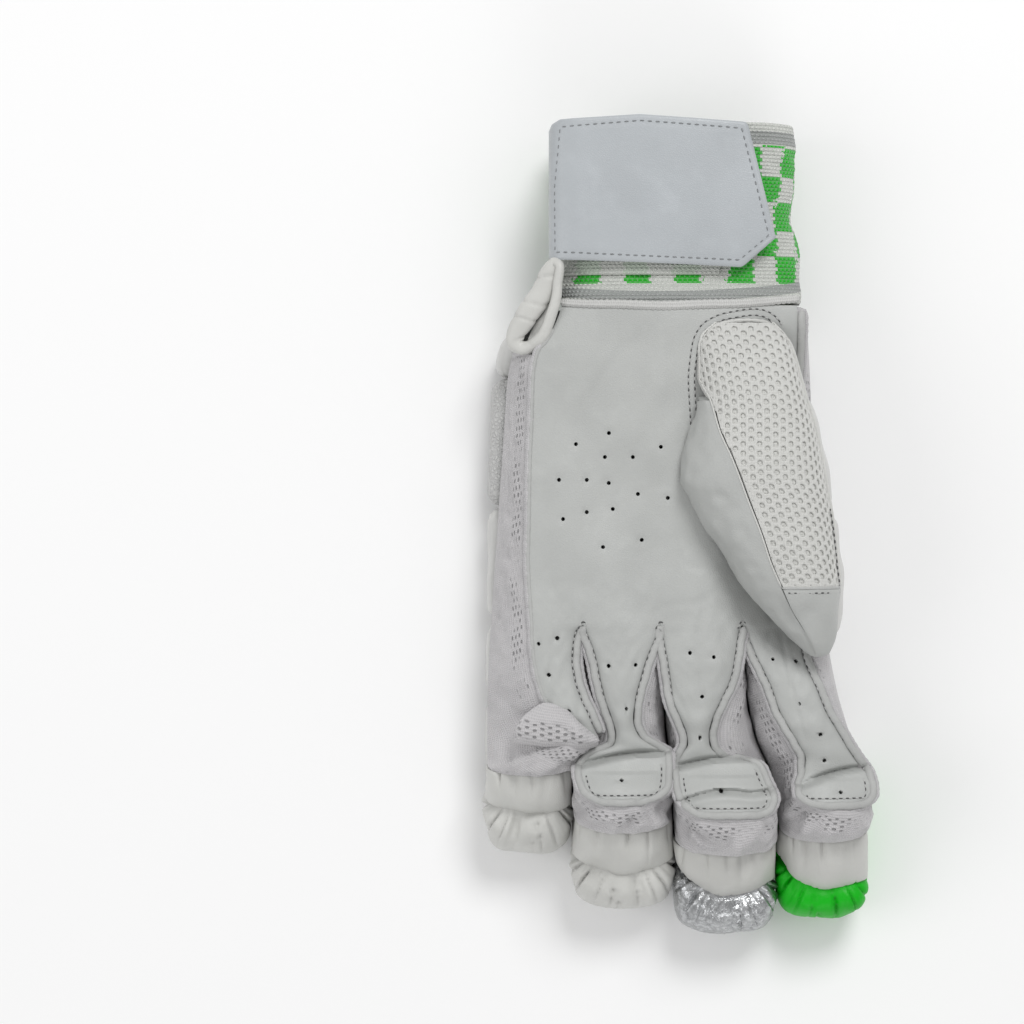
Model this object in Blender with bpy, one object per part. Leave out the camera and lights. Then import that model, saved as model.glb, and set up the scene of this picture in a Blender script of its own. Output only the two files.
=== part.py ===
"""Cricket batting glove for the left hand, lying on its padded back, palm up.

Lengths in millimetres in the tables; the objects are made in metres.
X: little-finger side is -X, thumb side is +X.  Y: fingertips are -Y, wrist is +Y.
Z: up, and the pads rest on Z = 0.
"""

import math

import bpy
import numpy as np

# ---------------------------------------------------------------- driving sizes
MM = 0.001
GAP = 0.35            # free space between neighbouring pieces
LEATHER = 1.6         # palm leather
KNIT = 1.5            # finger gussets
BAND = 1.5            # smooth bands over the fingertips
CUFF = 2.6            # knitted wristband
STRAP = 2.4           # wrist strap
BACK = 1.6            # fabric sheet that carries the pads
PAD_TOP = 22.0        # height of the pads on the back
BACK_Z = PAD_TOP + GAP
BASE_Z = BACK_Z + BACK + GAP   # foot of the gusset walls
PALM_Z = 44.5         # rim height of the palm leather
COLS = 5              # grid columns of one finger's leather
SHIFT = (1.4, 1.3)    # brings the middle of the outline over the origin

# palm leather, rim of the flat part: little-finger side and thumb side
PALM = [  # y, left, right
    (78.4, -42.9, 40.6),
    (72.5, -45.1, 40.9),
    (66.1, -48.6, 40.9),
    (61.8, -52.0, 40.9),
    (53.7, -53.6, 40.9),
    (44.0, -54.0, 40.9),
    (34.0, -54.3, 40.9),
    (21.0, -54.8, 41.1),
    (9.3, -55.0, 41.3),
    (-1.0, -55.2, 41.5),
    (-12.1, -55.4, 41.6),
    (-24.0, -54.8, 42.0),
    (-35.2, -54.0, 42.2),
]
SLITS = (-35.5, -8.0, 21.3)    # where the finger slits start, on the last row of PALM

# finger fronts: rim of the leather
RIMS = {
    "little": [  # y, left, right, z
        (-37.8, -54.0, -38.0, 45.0),
        (-47.5, -53.2, -39.2, 45.0),
        (-54.6, -51.8, -38.2, 45.0),
        (-61.7, -49.3, -35.8, 45.0),
        (-67.1, -46.1, -33.2, 44.5),
        (-75.9, -43.7, -30.0, 44.0),
    ],
    "ring": [
        (-37.8, -34.4, -8.9, 45.0),
        (-47.5, -30.9, -12.8, 45.0),
        (-54.6, -29.5, -14.9, 45.0),
        (-61.7, -27.7, -16.7, 44.5),
        (-68.8, -25.2, -17.4, 43.5),
        (-74.2, -23.8, -15.6, 42.5),
        (-77.7, -24.5, -11.0, 42.0),
        (-81.2, -33.0, -5.4, 42.5),
        (-86.4, -37.3, -5.0, 45.5),
        (-92.9, -35.8, -5.9, 51.0),
        (-97.3, -29.8, -13.9, 53.0),
    ],
    "middle": [
        (-37.8, -7.5, 20.2, 45.0),
        (-47.5, -5.7, 18.5, 45.0),
        (-54.6, -4.6, 17.0, 44.5),
        (-61.7, -3.5, 13.8, 44.0),
        (-68.8, -0.7, 10.7, 43.0),
        (-74.2, 1.4, 9.6, 42.0),
        (-77.7, 1.8, 9.9, 41.8),
        (-81.2, -0.4, 13.0, 42.0),
        (-84.7, -2.6, 27.2, 43.5),
        (-89.7, -2.6, 29.4, 47.0),
        (-96.4, -1.2, 31.9, 52.0),
        (-101.8, 4.6, 29.2, 54.0),
    ],
    "index": [
        (-37.8, 22.6, 42.2, 45.0),
        (-45.8, 25.9, 43.0, 45.0),
        (-58.2, 31.6, 47.9, 45.0),
        (-66.0, 34.4, 51.1, 44.5),
        (-72.4, 38.0, 55.0, 44.0),
        (-77.7, 41.2, 58.2, 43.5),
        (-83.0, 43.6, 61.8, 43.0),
        (-87.2, 43.0, 65.2, 44.0),
        (-91.5, 40.9, 67.0, 47.5),
        (-94.8, 40.5, 67.0, 50.0),
        (-98.4, 46.5, 64.0, 52.5),
    ],
}

# edges of the four pad columns, from the wrist to the fingertips
EDGES = [  # y, little side, little|ring, ring|middle, middle|index, thumb side
    (70.0, -64.0, -36.0, -8.5, 19.0, 46.5),
    (50.0, -68.0, -36.5, -8.5, 19.5, 47.5),
    (7.0, -69.5, -36.5, -8.0, 20.5, 49.0),
    (-35.0, -70.0, -35.4, -6.9, 22.5, 52.6),
    (-45.0, -70.2, -35.6, -6.6, 22.9, 54.2),
    (-60.0, -70.4, -36.2, -6.0, 23.8, 57.2),
    (-77.0, -70.4, -37.6, -4.8, 27.5, 62.2),
    (-90.0, -70.4, -38.8, -3.3, 33.0, 66.6),
    (-105.0, -70.4, -39.0, -2.6, 34.8, 67.5),
    (-150.0, -70.6, -38.8, -1.7, 35.4, 67.6),
]
FINGERS = ("little", "ring", "middle", "index")

# fingertips: seam between knit and band, seam between band and roll, outermost point
TIPS = {  # knit side y, knit tip y, band side y, band tip y, roll end y, knit tip z, band tip z
    "little": (-85.6, -89.0, -100.9, -104.4, -119.4, 42.0, 27.5),
    "ring": (-103.4, -109.2, -120.5, -126.1, -139.4, 43.0, 28.0),
    "middle": (-111.5, -117.3, -128.5, -134.4, -148.5, 43.0, 28.0),
    "index": (-107.5, -112.6, -124.4, -131.9, -143.0, 43.0, 28.0),
}
SIDE_Z = (26.4, 23.0)  # heights of the two seams at the sides of a fingertip

# rows of pads over the back of the hand and along the fingers
HAND_ROWS = (("wrist", 70.0, 54.2), ("mid", 53.6, 7.2), ("knuckle", 6.6, -34.2))
FINGER_ROWS = (("base", -34.8, -61.8), ("middle", -62.4, -90.4))
TIP_START = -91.0

# thumb stall: footprint, seam between leather and mesh, crest height
THUMB = [  # y, left, seam, right, crest z, right edge z
    (72.6, 12.2, 12.2, 31.2, 48.0, 46.0),
    (67.6, 6.8, 6.9, 36.1, 52.0, 46.0),
    (63.0, 5.5, 5.8, 38.4, 56.0, 46.8),
    (53.0, 5.2, 5.6, 41.3, 61.5, 47.6),
    (44.1, 5.4, 9.1, 43.7, 64.5, 48.4),
    (33.6, 2.0, 11.8, 46.7, 66.5, 49.0),
    (23.1, -0.9, 16.2, 48.9, 68.0, 49.6),
    (16.8, -1.2, 18.6, 49.9, 68.2, 50.0),
    (9.2, 3.0, 21.4, 51.3, 68.2, 50.0),
    (-2.3, 8.5, 25.9, 53.1, 68.0, 50.0),
    (-13.5, 15.6, 29.8, 54.2, 67.0, 50.0),
    (-21.5, 20.9, 33.4, 55.0, 65.6, 50.0),
    (-30.3, 28.4, 37.8, 54.6, 62.5, 49.6),
    (-39.9, 37.6, 44.0, 52.7, 57.0, 49.0),
    (-45.0, 43.8, 46.6, 50.8, 52.4, 48.6),
]
THUMB_TIP_Y = -21.5
THUMB_FLOOR = 48.0     # inner floor of the thumb stall, at its lowest
THUMB_HOLE = (21.5, 58.0, 12.0, 10.5)  # centre x, y and half sizes, in the palm leather
THUMB_PADS = (("wrist", 47.0, 6.4), ("tip", 5.8, -41.0))

# knitted wristband: outline of the tube
WRISTBAND = [  # y, left, right, bottom z, top z
    (144.0, -44.0, 41.3, 3.0, 42.4),
    (134.0, -44.2, 41.6, 4.0, 42.6),
    (125.0, -44.4, 41.2, 5.5, 42.8),
    (113.5, -44.6, 39.5, 8.5, 42.8),
    (102.0, -45.2, 40.9, 12.5, 43.0),
    (92.5, -46.0, 42.5, 17.0, 43.2),
    (79.2, -43.6, 42.8, 21.4, 43.6),
]

# wrist strap: columns across its length
STRAP_COLUMNS = [  # x, lower y, upper y, z
    (-47.6, 94.8, 140.8, 40.0),
    (-46.4, 94.4, 143.4, 44.6),
    (-43.0, 94.2, 144.6, 47.4),
    (-37.8, 94.0, 145.0, 48.4),
    (-15.4, 93.6, 145.9, 48.7),
    (4.0, 92.9, 145.0, 48.8),
    (20.7, 91.8, 143.2, 48.6),
    (23.4, 93.4, 139.4, 48.5),
    (28.0, 97.4, 121.4, 48.4),
    (31.8, 100.8, 106.8, 48.1),
]
# Top edge of the knitted wall beside the wrist slit, below the slit's rolled edge.
SLIT_WALL = [  # x, y, z
    (-50.6, 84.0, 41.0), (-53.2, 79.6, 40.4), (-56.1, 75.0, 39.2), (-58.7, 70.4, 37.9), (-59.6, 66.2, 37.1),
    (-58.6, 63.2, 37.3),
]

TAPE = (-36.5, 26.5, 89.6, 118.0, 44.2, 45.3)   # x, x, y, y, z, z of the closing tape

# leather-bound slit at the wrist: centre line of the rolled edge
VENT = [  # x, y, z, radius
    (-46.3, 91.2, 44.6, 1.5),
    (-48.9, 86.4, 44.4, 1.8),
    (-52.0, 80.8, 43.4, 2.1),
    (-55.8, 75.6, 42.2, 2.2),
    (-58.8, 70.8, 40.8, 2.2),
    (-59.9, 66.2, 39.8, 2.0),
    (-58.0, 62.8, 39.6, 1.7),
    (-54.4, 62.8, 41.0, 1.5),
    (-50.3, 66.6, 43.8, 1.5),
    (-47.4, 72.4, 45.4, 1.6),
    (-45.8, 78.6, 46.4, 1.6),
    (-44.9, 84.8, 46.4, 1.6),
    (-44.4, 90.2, 46.0, 1.5),
]


# ---------------------------------------------------------------- helpers
def smooth(t):
    t = min(1.0, max(0.0, t))
    return t * t * (3 - 2 * t)


def at(table, y, column):
    """Value of one column of a table whose first column falls (or rises)."""
    ys = [row[0] for row in table]
    vs = [row[column] for row in table]
    if ys[0] > ys[-1]:
        ys, vs = ys[::-1], vs[::-1]
    return float(np.interp(y, ys, vs))


def edge(y, k):
    return at(EDGES, y, k + 1)


def drop(x, y):
    """How far the thumb side of the palm falls away under the thumb."""
    return 12.0 * smooth((x - 6.0) / 36.0) * smooth((76.0 - y) / 30.0) * smooth((y + 56.0) / 30.0)


def palm_height(x, y):
    left, right = at(PALM, y, 1), at(PALM, y, 2)
    u = (x - left) / (right - left)
    return PALM_Z + 2.0 * (1 - (2 * u - 1) ** 4) - drop(x, y)


def material(name, rgb, rough, metal=0.0):
    found = bpy.data.materials.get(name)
    if found:
        return found
    made = bpy.data.materials.new(name)
    made.use_nodes = True
    node = made.node_tree.nodes["Principled BSDF"]
    node.inputs["Base Color"].default_value = (*rgb, 1.0)
    node.inputs["Roughness"].default_value = rough
    node.inputs["Metallic"].default_value = metal
    return made


LOOKS = {
    "palm_leather": ((0.50, 0.52, 0.53), 0.55, 0.0),
    "knit": ((0.62, 0.62, 0.68), 0.9, 0.0),
    "smooth_band": ((0.80, 0.81, 0.82), 0.5, 0.0),
    "pad_white": ((0.80, 0.81, 0.80), 0.5, 0.0),
    "pad_silver": ((0.55, 0.56, 0.58), 0.35, 0.6),
    "pad_green": ((0.0, 0.45, 0.02), 0.45, 0.0),
    "back_cloth": ((0.60, 0.62, 0.62), 0.9, 0.0),
    "mesh_cloth": ((0.74, 0.75, 0.72), 0.9, 0.0),
    "cuff_knit": ((0.62, 0.74, 0.62), 0.9, 0.0),
    "strap_leather": ((0.62, 0.65, 0.68), 0.5, 0.0),
    "tape": ((0.68, 0.78, 0.70), 0.8, 0.0),
    "binding": ((0.80, 0.80, 0.80), 0.5, 0.0),
}


def add(name, points, faces, look, flat=False):
    volume = 0.0
    for face in faces:
        for i in range(1, len(face) - 1):
            volume += np.dot(points[face[0]], np.cross(points[face[i]], points[face[i + 1]]))
    if volume < 0:
        faces = [tuple(reversed(face)) for face in faces]
    mesh = bpy.data.meshes.new(name)
    shifted = [((p[0] + SHIFT[0]) * MM, (p[1] + SHIFT[1]) * MM, p[2] * MM) for p in points]
    mesh.from_pydata(shifted, [], faces)
    mesh.validate()
    mesh.update()
    for polygon in mesh.polygons:
        polygon.use_smooth = not flat
    made = bpy.data.objects.new(name, mesh)
    made.data.materials.append(material(look, *LOOKS[look]))
    bpy.context.scene.collection.objects.link(made)
    return made


def sheet_normals(points, cells):
    """Normals of a sheet's points, the mean of the cells around each."""
    total = np.zeros_like(points)
    for cell in cells:
        a, b, c, d = (points[i] for i in cell)
        n = np.cross(c - a, d - b)
        length = np.linalg.norm(n)
        if length > 1e-9:
            for i in cell:
                total[i] += n / length
    lengths = np.linalg.norm(total, axis=1)
    lengths[lengths < 1e-9] = 1.0
    return total / lengths[:, None]


def wall(name, points, cells, thickness, look):
    """A closed body from a sheet: the given side is the outside."""
    outer = np.array(points, float)
    inner = outer - thickness * sheet_normals(outer, cells)
    count = len(outer)
    faces = [tuple(c) for c in cells]
    faces += [tuple(i + count for i in reversed(c)) for c in cells]
    seen = {}
    for cell in cells:
        for i in range(4):
            a, b = cell[i], cell[(i + 1) % 4]
            seen[(a, b)] = True
    for a, b in seen:
        if (b, a) not in seen:
            faces.append((b, a, a + count, b + count))
    return add(name, list(outer) + list(inner), faces, look)


def grid(rows):
    """Points and cells of a sheet from rows of points."""
    width = len(rows[0])
    points = [p for row in rows for p in row]
    cells = [
        (i * width + j, i * width + j + 1, (i + 1) * width + j + 1, (i + 1) * width + j)
        for i in range(len(rows) - 1)
        for j in range(width - 1)
    ]
    return points, cells


def facing(points, cells, toward):
    """Turns the cells over if the sheet faces away from the given direction."""
    points = np.array(points, float)
    total = np.zeros(3)
    for cell in cells:
        a, b, c, d = (points[i] for i in cell)
        total += np.cross(c - a, d - b)
    if np.dot(total, toward) < 0:
        return [tuple(reversed(c)) for c in cells]
    return cells


def loft(name, rings, look, hollow=None):
    """A closed body from rings of points, or a tube with open ends from outer and inner rings."""
    n = len(rings[0])
    points = [p for ring in rings for p in ring]
    faces = []
    last = len(rings) - 1
    for i in range(last):
        for j in range(n):
            k = (j + 1) % n
            faces.append((i * n + j, i * n + k, (i + 1) * n + k, (i + 1) * n + j))
    if hollow is None:
        faces.append(tuple(range(n - 1, -1, -1)))
        faces.append(tuple(last * n + j for j in range(n)))
    else:
        base = len(points)
        points += [p for ring in hollow for p in ring]
        for i in range(last):
            for j in range(n):
                k = (j + 1) % n
                faces.append((base + (i + 1) * n + j, base + (i + 1) * n + k, base + i * n + k, base + i * n + j))
        for j in range(n):
            k = (j + 1) % n
            faces.append((k, j, base + j, base + k))
            end = last * n
            faces.append((end + j, end + k, base + end + k, base + end + j))
    return add(name, points, faces, look)


def rounded_ring(y, left, right, low, high, r):
    """A rounded rectangle across the glove at one y, in order round it."""
    r = min(r, (right - left) / 2 - 0.05, (high - low) / 2 - 0.05)
    corners = ((right - r, low + r, -90), (right - r, high - r, 0), (left + r, high - r, 90), (left + r, low + r, 180))
    ring = []
    for cx, cz, start in corners:
        for step in (0, 30, 60, 90):
            a = math.radians(start + step)
            ring.append((cx + r * math.cos(a), y, cz + r * math.sin(a)))
    return ring[::-1]


# ---------------------------------------------------------------- pieces
def palm_leather():
    """Palm and the four finger fronts, one sheet with three slits and the thumb hole."""
    points, index, cells = [], {}, []

    def put(key, p):
        index[key] = len(points)
        points.append(p)

    last = PALM[-1]
    cuts_end = (last[1], *SLITS, last[2])
    rows = []
    ys = np.concatenate([np.linspace(78.4, 42.0, 11), np.linspace(34.0, -35.2, 10)])
    for y in ys:
        left, right = at(PALM, y, 1), at(PALM, y, 2)
        t = smooth((78.4 - y) / (78.4 + 35.2))
        even = [left + (right - left) * k / 4 for k in range(5)]
        goal = [left + (right - left) * (c - last[1]) / (last[2] - last[1]) for c in cuts_end]
        cuts = [e + (g - e) * t for e, g in zip(even, goal)]
        rows.append((y, cuts))
    total = 4 * COLS
    for i, (y, cuts) in enumerate(rows):
        for j in range(total + 1):
            k = min(3, j // COLS)
            u = (j - k * COLS) / COLS
            x = cuts[k] + (cuts[k + 1] - cuts[k]) * u
            put(("p", i, j), (x, y, palm_height(x, y)))
    hx, hy, ha, hb = THUMB_HOLE
    for i in range(len(rows) - 1):
        for j in range(total):
            cell = (index[("p", i, j)], index[("p", i + 1, j)], index[("p", i + 1, j + 1)], index[("p", i, j + 1)])
            cx = sum(points[q][0] for q in cell) / 4
            cy = sum(points[q][1] for q in cell) / 4
            if abs(cx - hx) < ha and abs(cy - hy) < hb:
                continue
            cells.append(cell)
    end = len(rows) - 1
    for f, name in enumerate(FINGERS):
        for j in range(COLS + 1):
            index[(name, 0, j)] = index[("p", end, f * COLS + j)]
        for i, (y, left, right, z) in enumerate(RIMS[name], 1):
            for j in range(COLS + 1):
                u = j / COLS
                x = left + (right - left) * u
                crown = 2.0 if z < 46 else 3.2
                put((name, i, j), (x, y, z + crown * (1 - (2 * u - 1) ** 2) - drop(x, y)))
        for i in range(len(RIMS[name])):
            for j in range(COLS):
                cells.append((index[(name, i, j)], index[(name, i + 1, j)], index[(name, i + 1, j + 1)], index[(name, i, j + 1)]))
    used = sorted({q for c in cells for q in c})
    renum = {q: n for n, q in enumerate(used)}
    wall("palm_leather", [points[q] for q in used], [tuple(renum[q] for q in c) for c in cells], LEATHER, "palm_leather")


def tip_curve(left, right, side_y, tip_y, side_z, tip_z, steps):
    """Points over a fingertip from its left side to its right side."""
    row = []
    for i in range(steps + 1):
        a = math.pi * i / steps
        x = (left + right) / 2 - (right - left) / 2 * math.cos(a)
        s = math.sin(a) ** 0.7
        row.append((x, side_y + (tip_y - side_y) * s, side_z + (tip_z - side_z) * s))
    return row


def gusset(name):
    """Knitted wall round one finger: down its left side, over the tip, back up its right side."""
    f = FINGERS.index(name)
    rim = RIMS[name]
    knit_side, knit_tip, _, _, _, tip_z, _ = TIPS[name]
    out = GAP + 0.15
    tip_steps = 8

    def rim_at(y, side):
        if y > rim[0][0]:
            cut = (PALM[-1][1], *SLITS, PALM[-1][2])
            x = at(PALM, y, 1) if (f, side) == (0, 0) else at(PALM, y, 2) if (f, side) == (3, 1) else cut[f + side]
            z = palm_height(x, y)
        else:
            x = at(rim, y, 1 + side)
            z = at(rim, y, 3) - drop(x, y)
        return (x - out if side == 0 else x + out), z - LEATHER - GAP - 0.8

    def foot_at(y, side):
        if (f, side) == (0, 0):
            return edge(y, 0) + (5.4 if y > 50 else 5.4 - 4.6 * smooth((50 - y) / 120.0))
        if (f, side) == (3, 1):
            return edge(y, 4) - 0.4
        return edge(y, f + side) + (GAP / 2 + 0.2) * (1 if side == 0 else -1)

    starts = {0: 60.0 if f == 0 else rim[0][0] - 0.8, 1: 77.6 if f == 3 else rim[0][0] - 0.8}
    top, bottom = [], []
    for side in (0, 1):
        count = 15 if starts[side] > 0 else 9
        legs_top, legs_bottom = [], []
        if (f, side) == (0, 0):
            for x, y, z in SLIT_WALL:
                legs_top.append((x, y, z))
                legs_bottom.append((edge(y, 0) + 5.4 + 10.5 * smooth((y - 70.0) / 16.0), y, BASE_Z + 1.0))
        for i in range(count + 1):
            t = i / count
            y0 = starts[side] + (rim[-1][0] - starts[side]) * t
            y1 = starts[side] + (knit_side - starts[side]) * t
            x, z = rim_at(y0, side)
            legs_top.append((x, y0, z))
            foot_z = BASE_Z + (1.0 if (f, side) in ((0, 0), (3, 1)) else 0.4)
            legs_bottom.append((foot_at(y1, side), y1, foot_z + (SIDE_Z[0] - foot_z) * smooth((t - 0.7) / 0.3)))
        if side == 0:
            top += legs_top
            bottom += legs_bottom
        else:
            last = rim[-1]
            across = []
            for i in range(1, tip_steps):
                u = i / tip_steps
                x = last[1] + (last[2] - last[1]) * u
                across.append((x, last[0] - out, last[3] + 3.2 * (1 - (2 * u - 1) ** 2) - LEATHER - GAP - 0.8))
            seam = tip_curve(foot_at(knit_side, 0), foot_at(knit_side, 1), knit_side, knit_tip, SIDE_Z[0], tip_z, tip_steps)
            top += across + legs_top[::-1]
            bottom += seam[1:-1] + legs_bottom[::-1]
    rows = []
    centre = [(edge(p[1], f) + edge(p[1], f + 1)) / 2 for p in bottom]
    for k in range(5):
        t = k / 4
        row = []
        for a, b, mid in zip(top, bottom, centre):
            p = np.array(a) * (1 - t) + np.array(b) * t
            away = np.array([b[0] - a[0], b[1] - a[1], 0.0])
            spread = np.linalg.norm(away)
            lift = min(2.2, 0.16 * spread) * 4 * t * (1 - t)
            if spread > 1e-6:
                p = p + np.array([*(away[:2] / spread * 0.5 * lift), 0.8 * lift])
            row.append(tuple(p))
        rows.append(row)
    points, cells = grid(rows)
    wall(name + "_gusset", points, [tuple(reversed(c)) for c in cells], KNIT, "knit")


def tip_band(name):
    """Smooth band over a fingertip between the knit and the gathered roll."""
    f = FINGERS.index(name)
    knit_side, knit_tip, band_side, band_tip, _, knit_z, band_z = TIPS[name]
    inset = GAP / 2 + 0.2
    steps = 10

    def ends(y):
        return edge(y, f) + inset, edge(y, f + 1) - inset

    a = tip_curve(*ends(knit_side), knit_side - 1.9, knit_tip - 1.2, SIDE_Z[0] - 0.4, knit_z - 0.9, steps)
    b = tip_curve(*ends(band_side), band_side, band_tip, SIDE_Z[1], band_z, steps)
    rows = []
    for k in range(4):
        t = k / 3
        lift = 1.4 * 4 * t * (1 - t)
        rows.append([
            tuple(np.array(p) * (1 - t) + np.array(q) * t + np.array([0, -0.6 * lift, 0.8 * lift]) * math.sin(math.pi * i / steps))
            for i, (p, q) in enumerate(zip(a, b))
        ])
    points, cells = grid(rows)
    wall(name + "_tip_band", points, [tuple(reversed(c)) for c in cells], BAND, "smooth_band")


def pad(name, f, y0, y1, look, top=PAD_TOP, r=5.5):
    """A padded block with rounded edges and a flat underside."""
    g = GAP / 2
    steps = ((0.0, 4.2, 4.6), (1.5, 1.4, 1.6), (4.0, 0.0, 0.0))
    stations = [(y0 - d, e, z) for d, e, z in steps] + [(y1 + d, e, z) for d, e, z in steps[::-1]]
    rings = [
        rounded_ring(y, edge(y, f) + g + e, edge(y, f + 1) - g - e, z, top - z, r - 0.4 * z)
        for y, e, z in stations
    ]
    return loft(name, rings, look)


def tip_roll(name, look):
    """Pad under a fingertip whose gathered end curls up round the tip."""
    f = FINGERS.index(name)
    _, _, band_side, band_tip, end, _, band_z = TIPS[name]
    g = GAP / 2
    stations = [  # y, narrower each side, bottom z, top z
        (TIP_START, 4.2, 4.6, PAD_TOP - 4.6),
        (TIP_START - 1.5, 1.4, 1.6, PAD_TOP - 1.6),
        (TIP_START - 4.0, 0.0, 0.0, PAD_TOP),
        (band_side - 0.6, 0.0, 0.0, PAD_TOP),
        (band_tip - 0.4, 0.2, 0.0, band_z - 3.4),
        (band_tip - 2.0, 0.5, 0.3, band_z - 0.2),
        (band_tip - 0.45 * (band_tip - end), 1.6, 1.2, band_z - 1.8),
        (band_tip - 0.78 * (band_tip - end), 4.0, 4.0, band_z - 6.0),
        (end, 8.5, 9.0, 18.0),
    ]
    rings = [rounded_ring(y, edge(y, f) + g + e, edge(y, f + 1) - g - e, low, high, 6.5) for y, e, low, high in stations]
    return loft(name + "_tip_roll", rings, look)


def back_panel():
    """Flat cloth that the pads are sewn to: hand and four finger tongues."""
    points, index, cells = [], {}, []
    hand = list(np.linspace(77.8, -36.5, 7))
    for i, y in enumerate(hand):
        for k in range(5):
            x = edge(y, k) + (6.2 if k == 0 else -1.2 if k == 4 else 0.0)
            index[("h", i, k)] = len(points)
            points.append((x, y, BASE_Z - GAP))
    for i in range(len(hand) - 1):
        for k in range(4):
            cells.append((index[("h", i, k)], index[("h", i + 1, k)], index[("h", i + 1, k + 1)], index[("h", i, k + 1)]))
    for f, name in enumerate(FINGERS):
        stop = TIPS[name][2] + 3.0
        ys = [-37.6, -60.0, -77.0, -90.0] + ([stop] if stop < -91 else [])
        rows = []
        for i, y in enumerate(ys):
            slim = 0.5 if y > -60 else 2.6
            row = []
            for side in (0, 1):
                x = edge(y, f + side) + slim * (1 if side == 0 else -1)
                if (f, side) == (0, 0):
                    x = edge(y, 0) + (6.2 - 3.4 * smooth((-35 - y) / 40))
                row.append(len(points))
                points.append((x, y, BASE_Z - GAP))
            rows.append(row)
        rows.insert(0, [index[("h", len(hand) - 1, f)], index[("h", len(hand) - 1, f + 1)]])
        for a, b in zip(rows[:-1], rows[1:]):
            cells.append((a[0], b[0], b[1], a[1]))
    wall("back_panel", points, cells, BACK, "back_cloth")


def thumb_section(row):
    """Points over the thumb at one y, from the left foot over the crest to the right edge."""
    y, left, seam, right, crest, right_z = row
    left_z = max(THUMB_FLOOR + 0.6, palm_height(min(left + 5.0, 40.0), y) + 3.0)
    if y > 45:
        left_z = palm_height(min(left, 40.0), y) + 1.4
    lows = (left_z, max(right_z, palm_height(min(right, 40.5), y) + 1.2))
    us = [(1 - math.cos(math.pi * i / 40)) / 2 for i in range(41)]
    return y, left, seam, right, crest, lows, us


def thumb_point(row, u):
    y, left, _, right, crest, lows, _ = row
    x = left + (right - left) * u
    low = lows[0] + (lows[1] - lows[0]) * u
    v = 2 * u - 1
    h = max(0.0, 1 - abs(v - 0.12 * (1 - v * v)) ** 2.3) ** 0.5
    return (x, y, low + (crest - low) * h)


def thumb():
    rows = [thumb_section(r) for r in THUMB]

    def us(lo, hi, count):
        a0, a1 = math.acos(1 - 2 * lo), math.acos(1 - 2 * hi)
        return [(1 - math.cos(a0 + (a1 - a0) * i / count)) / 2 for i in range(count + 1)]

    def seam_u(row):
        return min(1.0, max(0.0, (row[2] - row[1]) / (row[3] - row[1])))

    # mesh panel, from the wrist seam to the tip seam
    out, tip, skin = [], [], []
    for row in rows:
        u0 = min(0.97, seam_u(row) + 0.4 / (row[3] - row[1]))
        line = [thumb_point(row, u) for u in us(u0, 1.0, 9)]
        if row[0] > THUMB_TIP_Y - 0.01:
            out.append(line)
        if row[0] < THUMB_TIP_Y + 0.01:
            tip.append([(x, y - (0.5 if row[0] > THUMB_TIP_Y - 0.01 else 0.0), z) for x, y, z in line])
    points, cells = grid(out)
    wall("thumb_mesh", points, facing(points, cells, (0, 0, 1)), KNIT, "mesh_cloth")
    points, cells = grid(tip)
    wall("thumb_tip", points, facing(points, cells, (0, 0, 1)), KNIT, "palm_leather")
    # inner leather, from the mesh seam round the left side and under the stall
    for row in rows:
        if row[0] > 45:
            continue
        y, left, seam, right, crest, lows, _ = row
        u1 = max(0.03, seam_u(row) - 0.4 / (right - left))
        line = [thumb_point(row, u) for u in us(u1, 0.0, 6)]
        reach = min(17.0, 0.42 * (right - left))
        foot = lows[0]
        low = foot - KNIT - 0.2
        line += [(left + 0.45, y, foot - 0.8), (left + 1.6, y, low), (left + 0.5 * reach, y, low), (left + reach, y, low)]
        skin.append(line)
    points, cells = grid(skin)
    outward = facing(points, [c for c in cells], (-1, 0, 0.4))
    wall("thumb_leather", points, outward, 1.2, "palm_leather")


def thumb_pad(name, y0, y1):
    """Padded block on the back of the thumb, under its outer edge."""
    rings = []
    for d, e in ((0.0, 4.0), (1.5, 1.4), (4.0, 0.0)):
        rings.append((y0 - d, e))
    for y in np.linspace(y0 - 12.0, y1 + 12.0, 2):
        rings.append((float(y), 0.0))
    for d, e in ((4.0, 0.0), (1.5, 1.4), (0.0, 4.0)):
        rings.append((y1 + d, e))
    made = []
    for y, e in rings:
        left, right = at(THUMB, y, 1), at(THUMB, y, 3)
        top = at(THUMB, y, 5) - KNIT - 0.5
        x0 = left + min(17.0, 0.42 * (right - left)) + 1.0
        x1 = right + 1.4

        def under(x):
            return (palm_height(min(x, 41.0), y) if y > -36 else 45.0 - drop(x, y) + 2.2) + 1.1

        e = min(e, 0.22 * (x1 - x0))
        e2 = e * 0.9
        a, b = x0 + e, x1 - e
        w = b - a
        low = [max(under(a + w * t), under(a + w * min(1.0, t + 0.12))) + e2 for t in (0.12, 0.5, 0.82)]
        high = top - e2
        low = [min(z, high - 3.0) for z in low]
        ring = [
            (a, high - 1.0), (a + 0.10 * w, high), (a + 0.5 * w, high), (a + 0.84 * w, high - 0.1), (a + 0.96 * w, high - 1.4),
            (b, 0.5 * (high + low[2])), (a + 0.95 * w, low[2] + 1.2), (a + 0.82 * w, low[2]), (a + 0.5 * w, low[1]),
            (a + 0.12 * w, low[0]), (a, min(high - 1.8, low[0] + 1.2)),
        ]
        ring = [(x, y, z) for x, z in ring]
        made.append(ring)
    loft(name, made, "pad_white")


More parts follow.
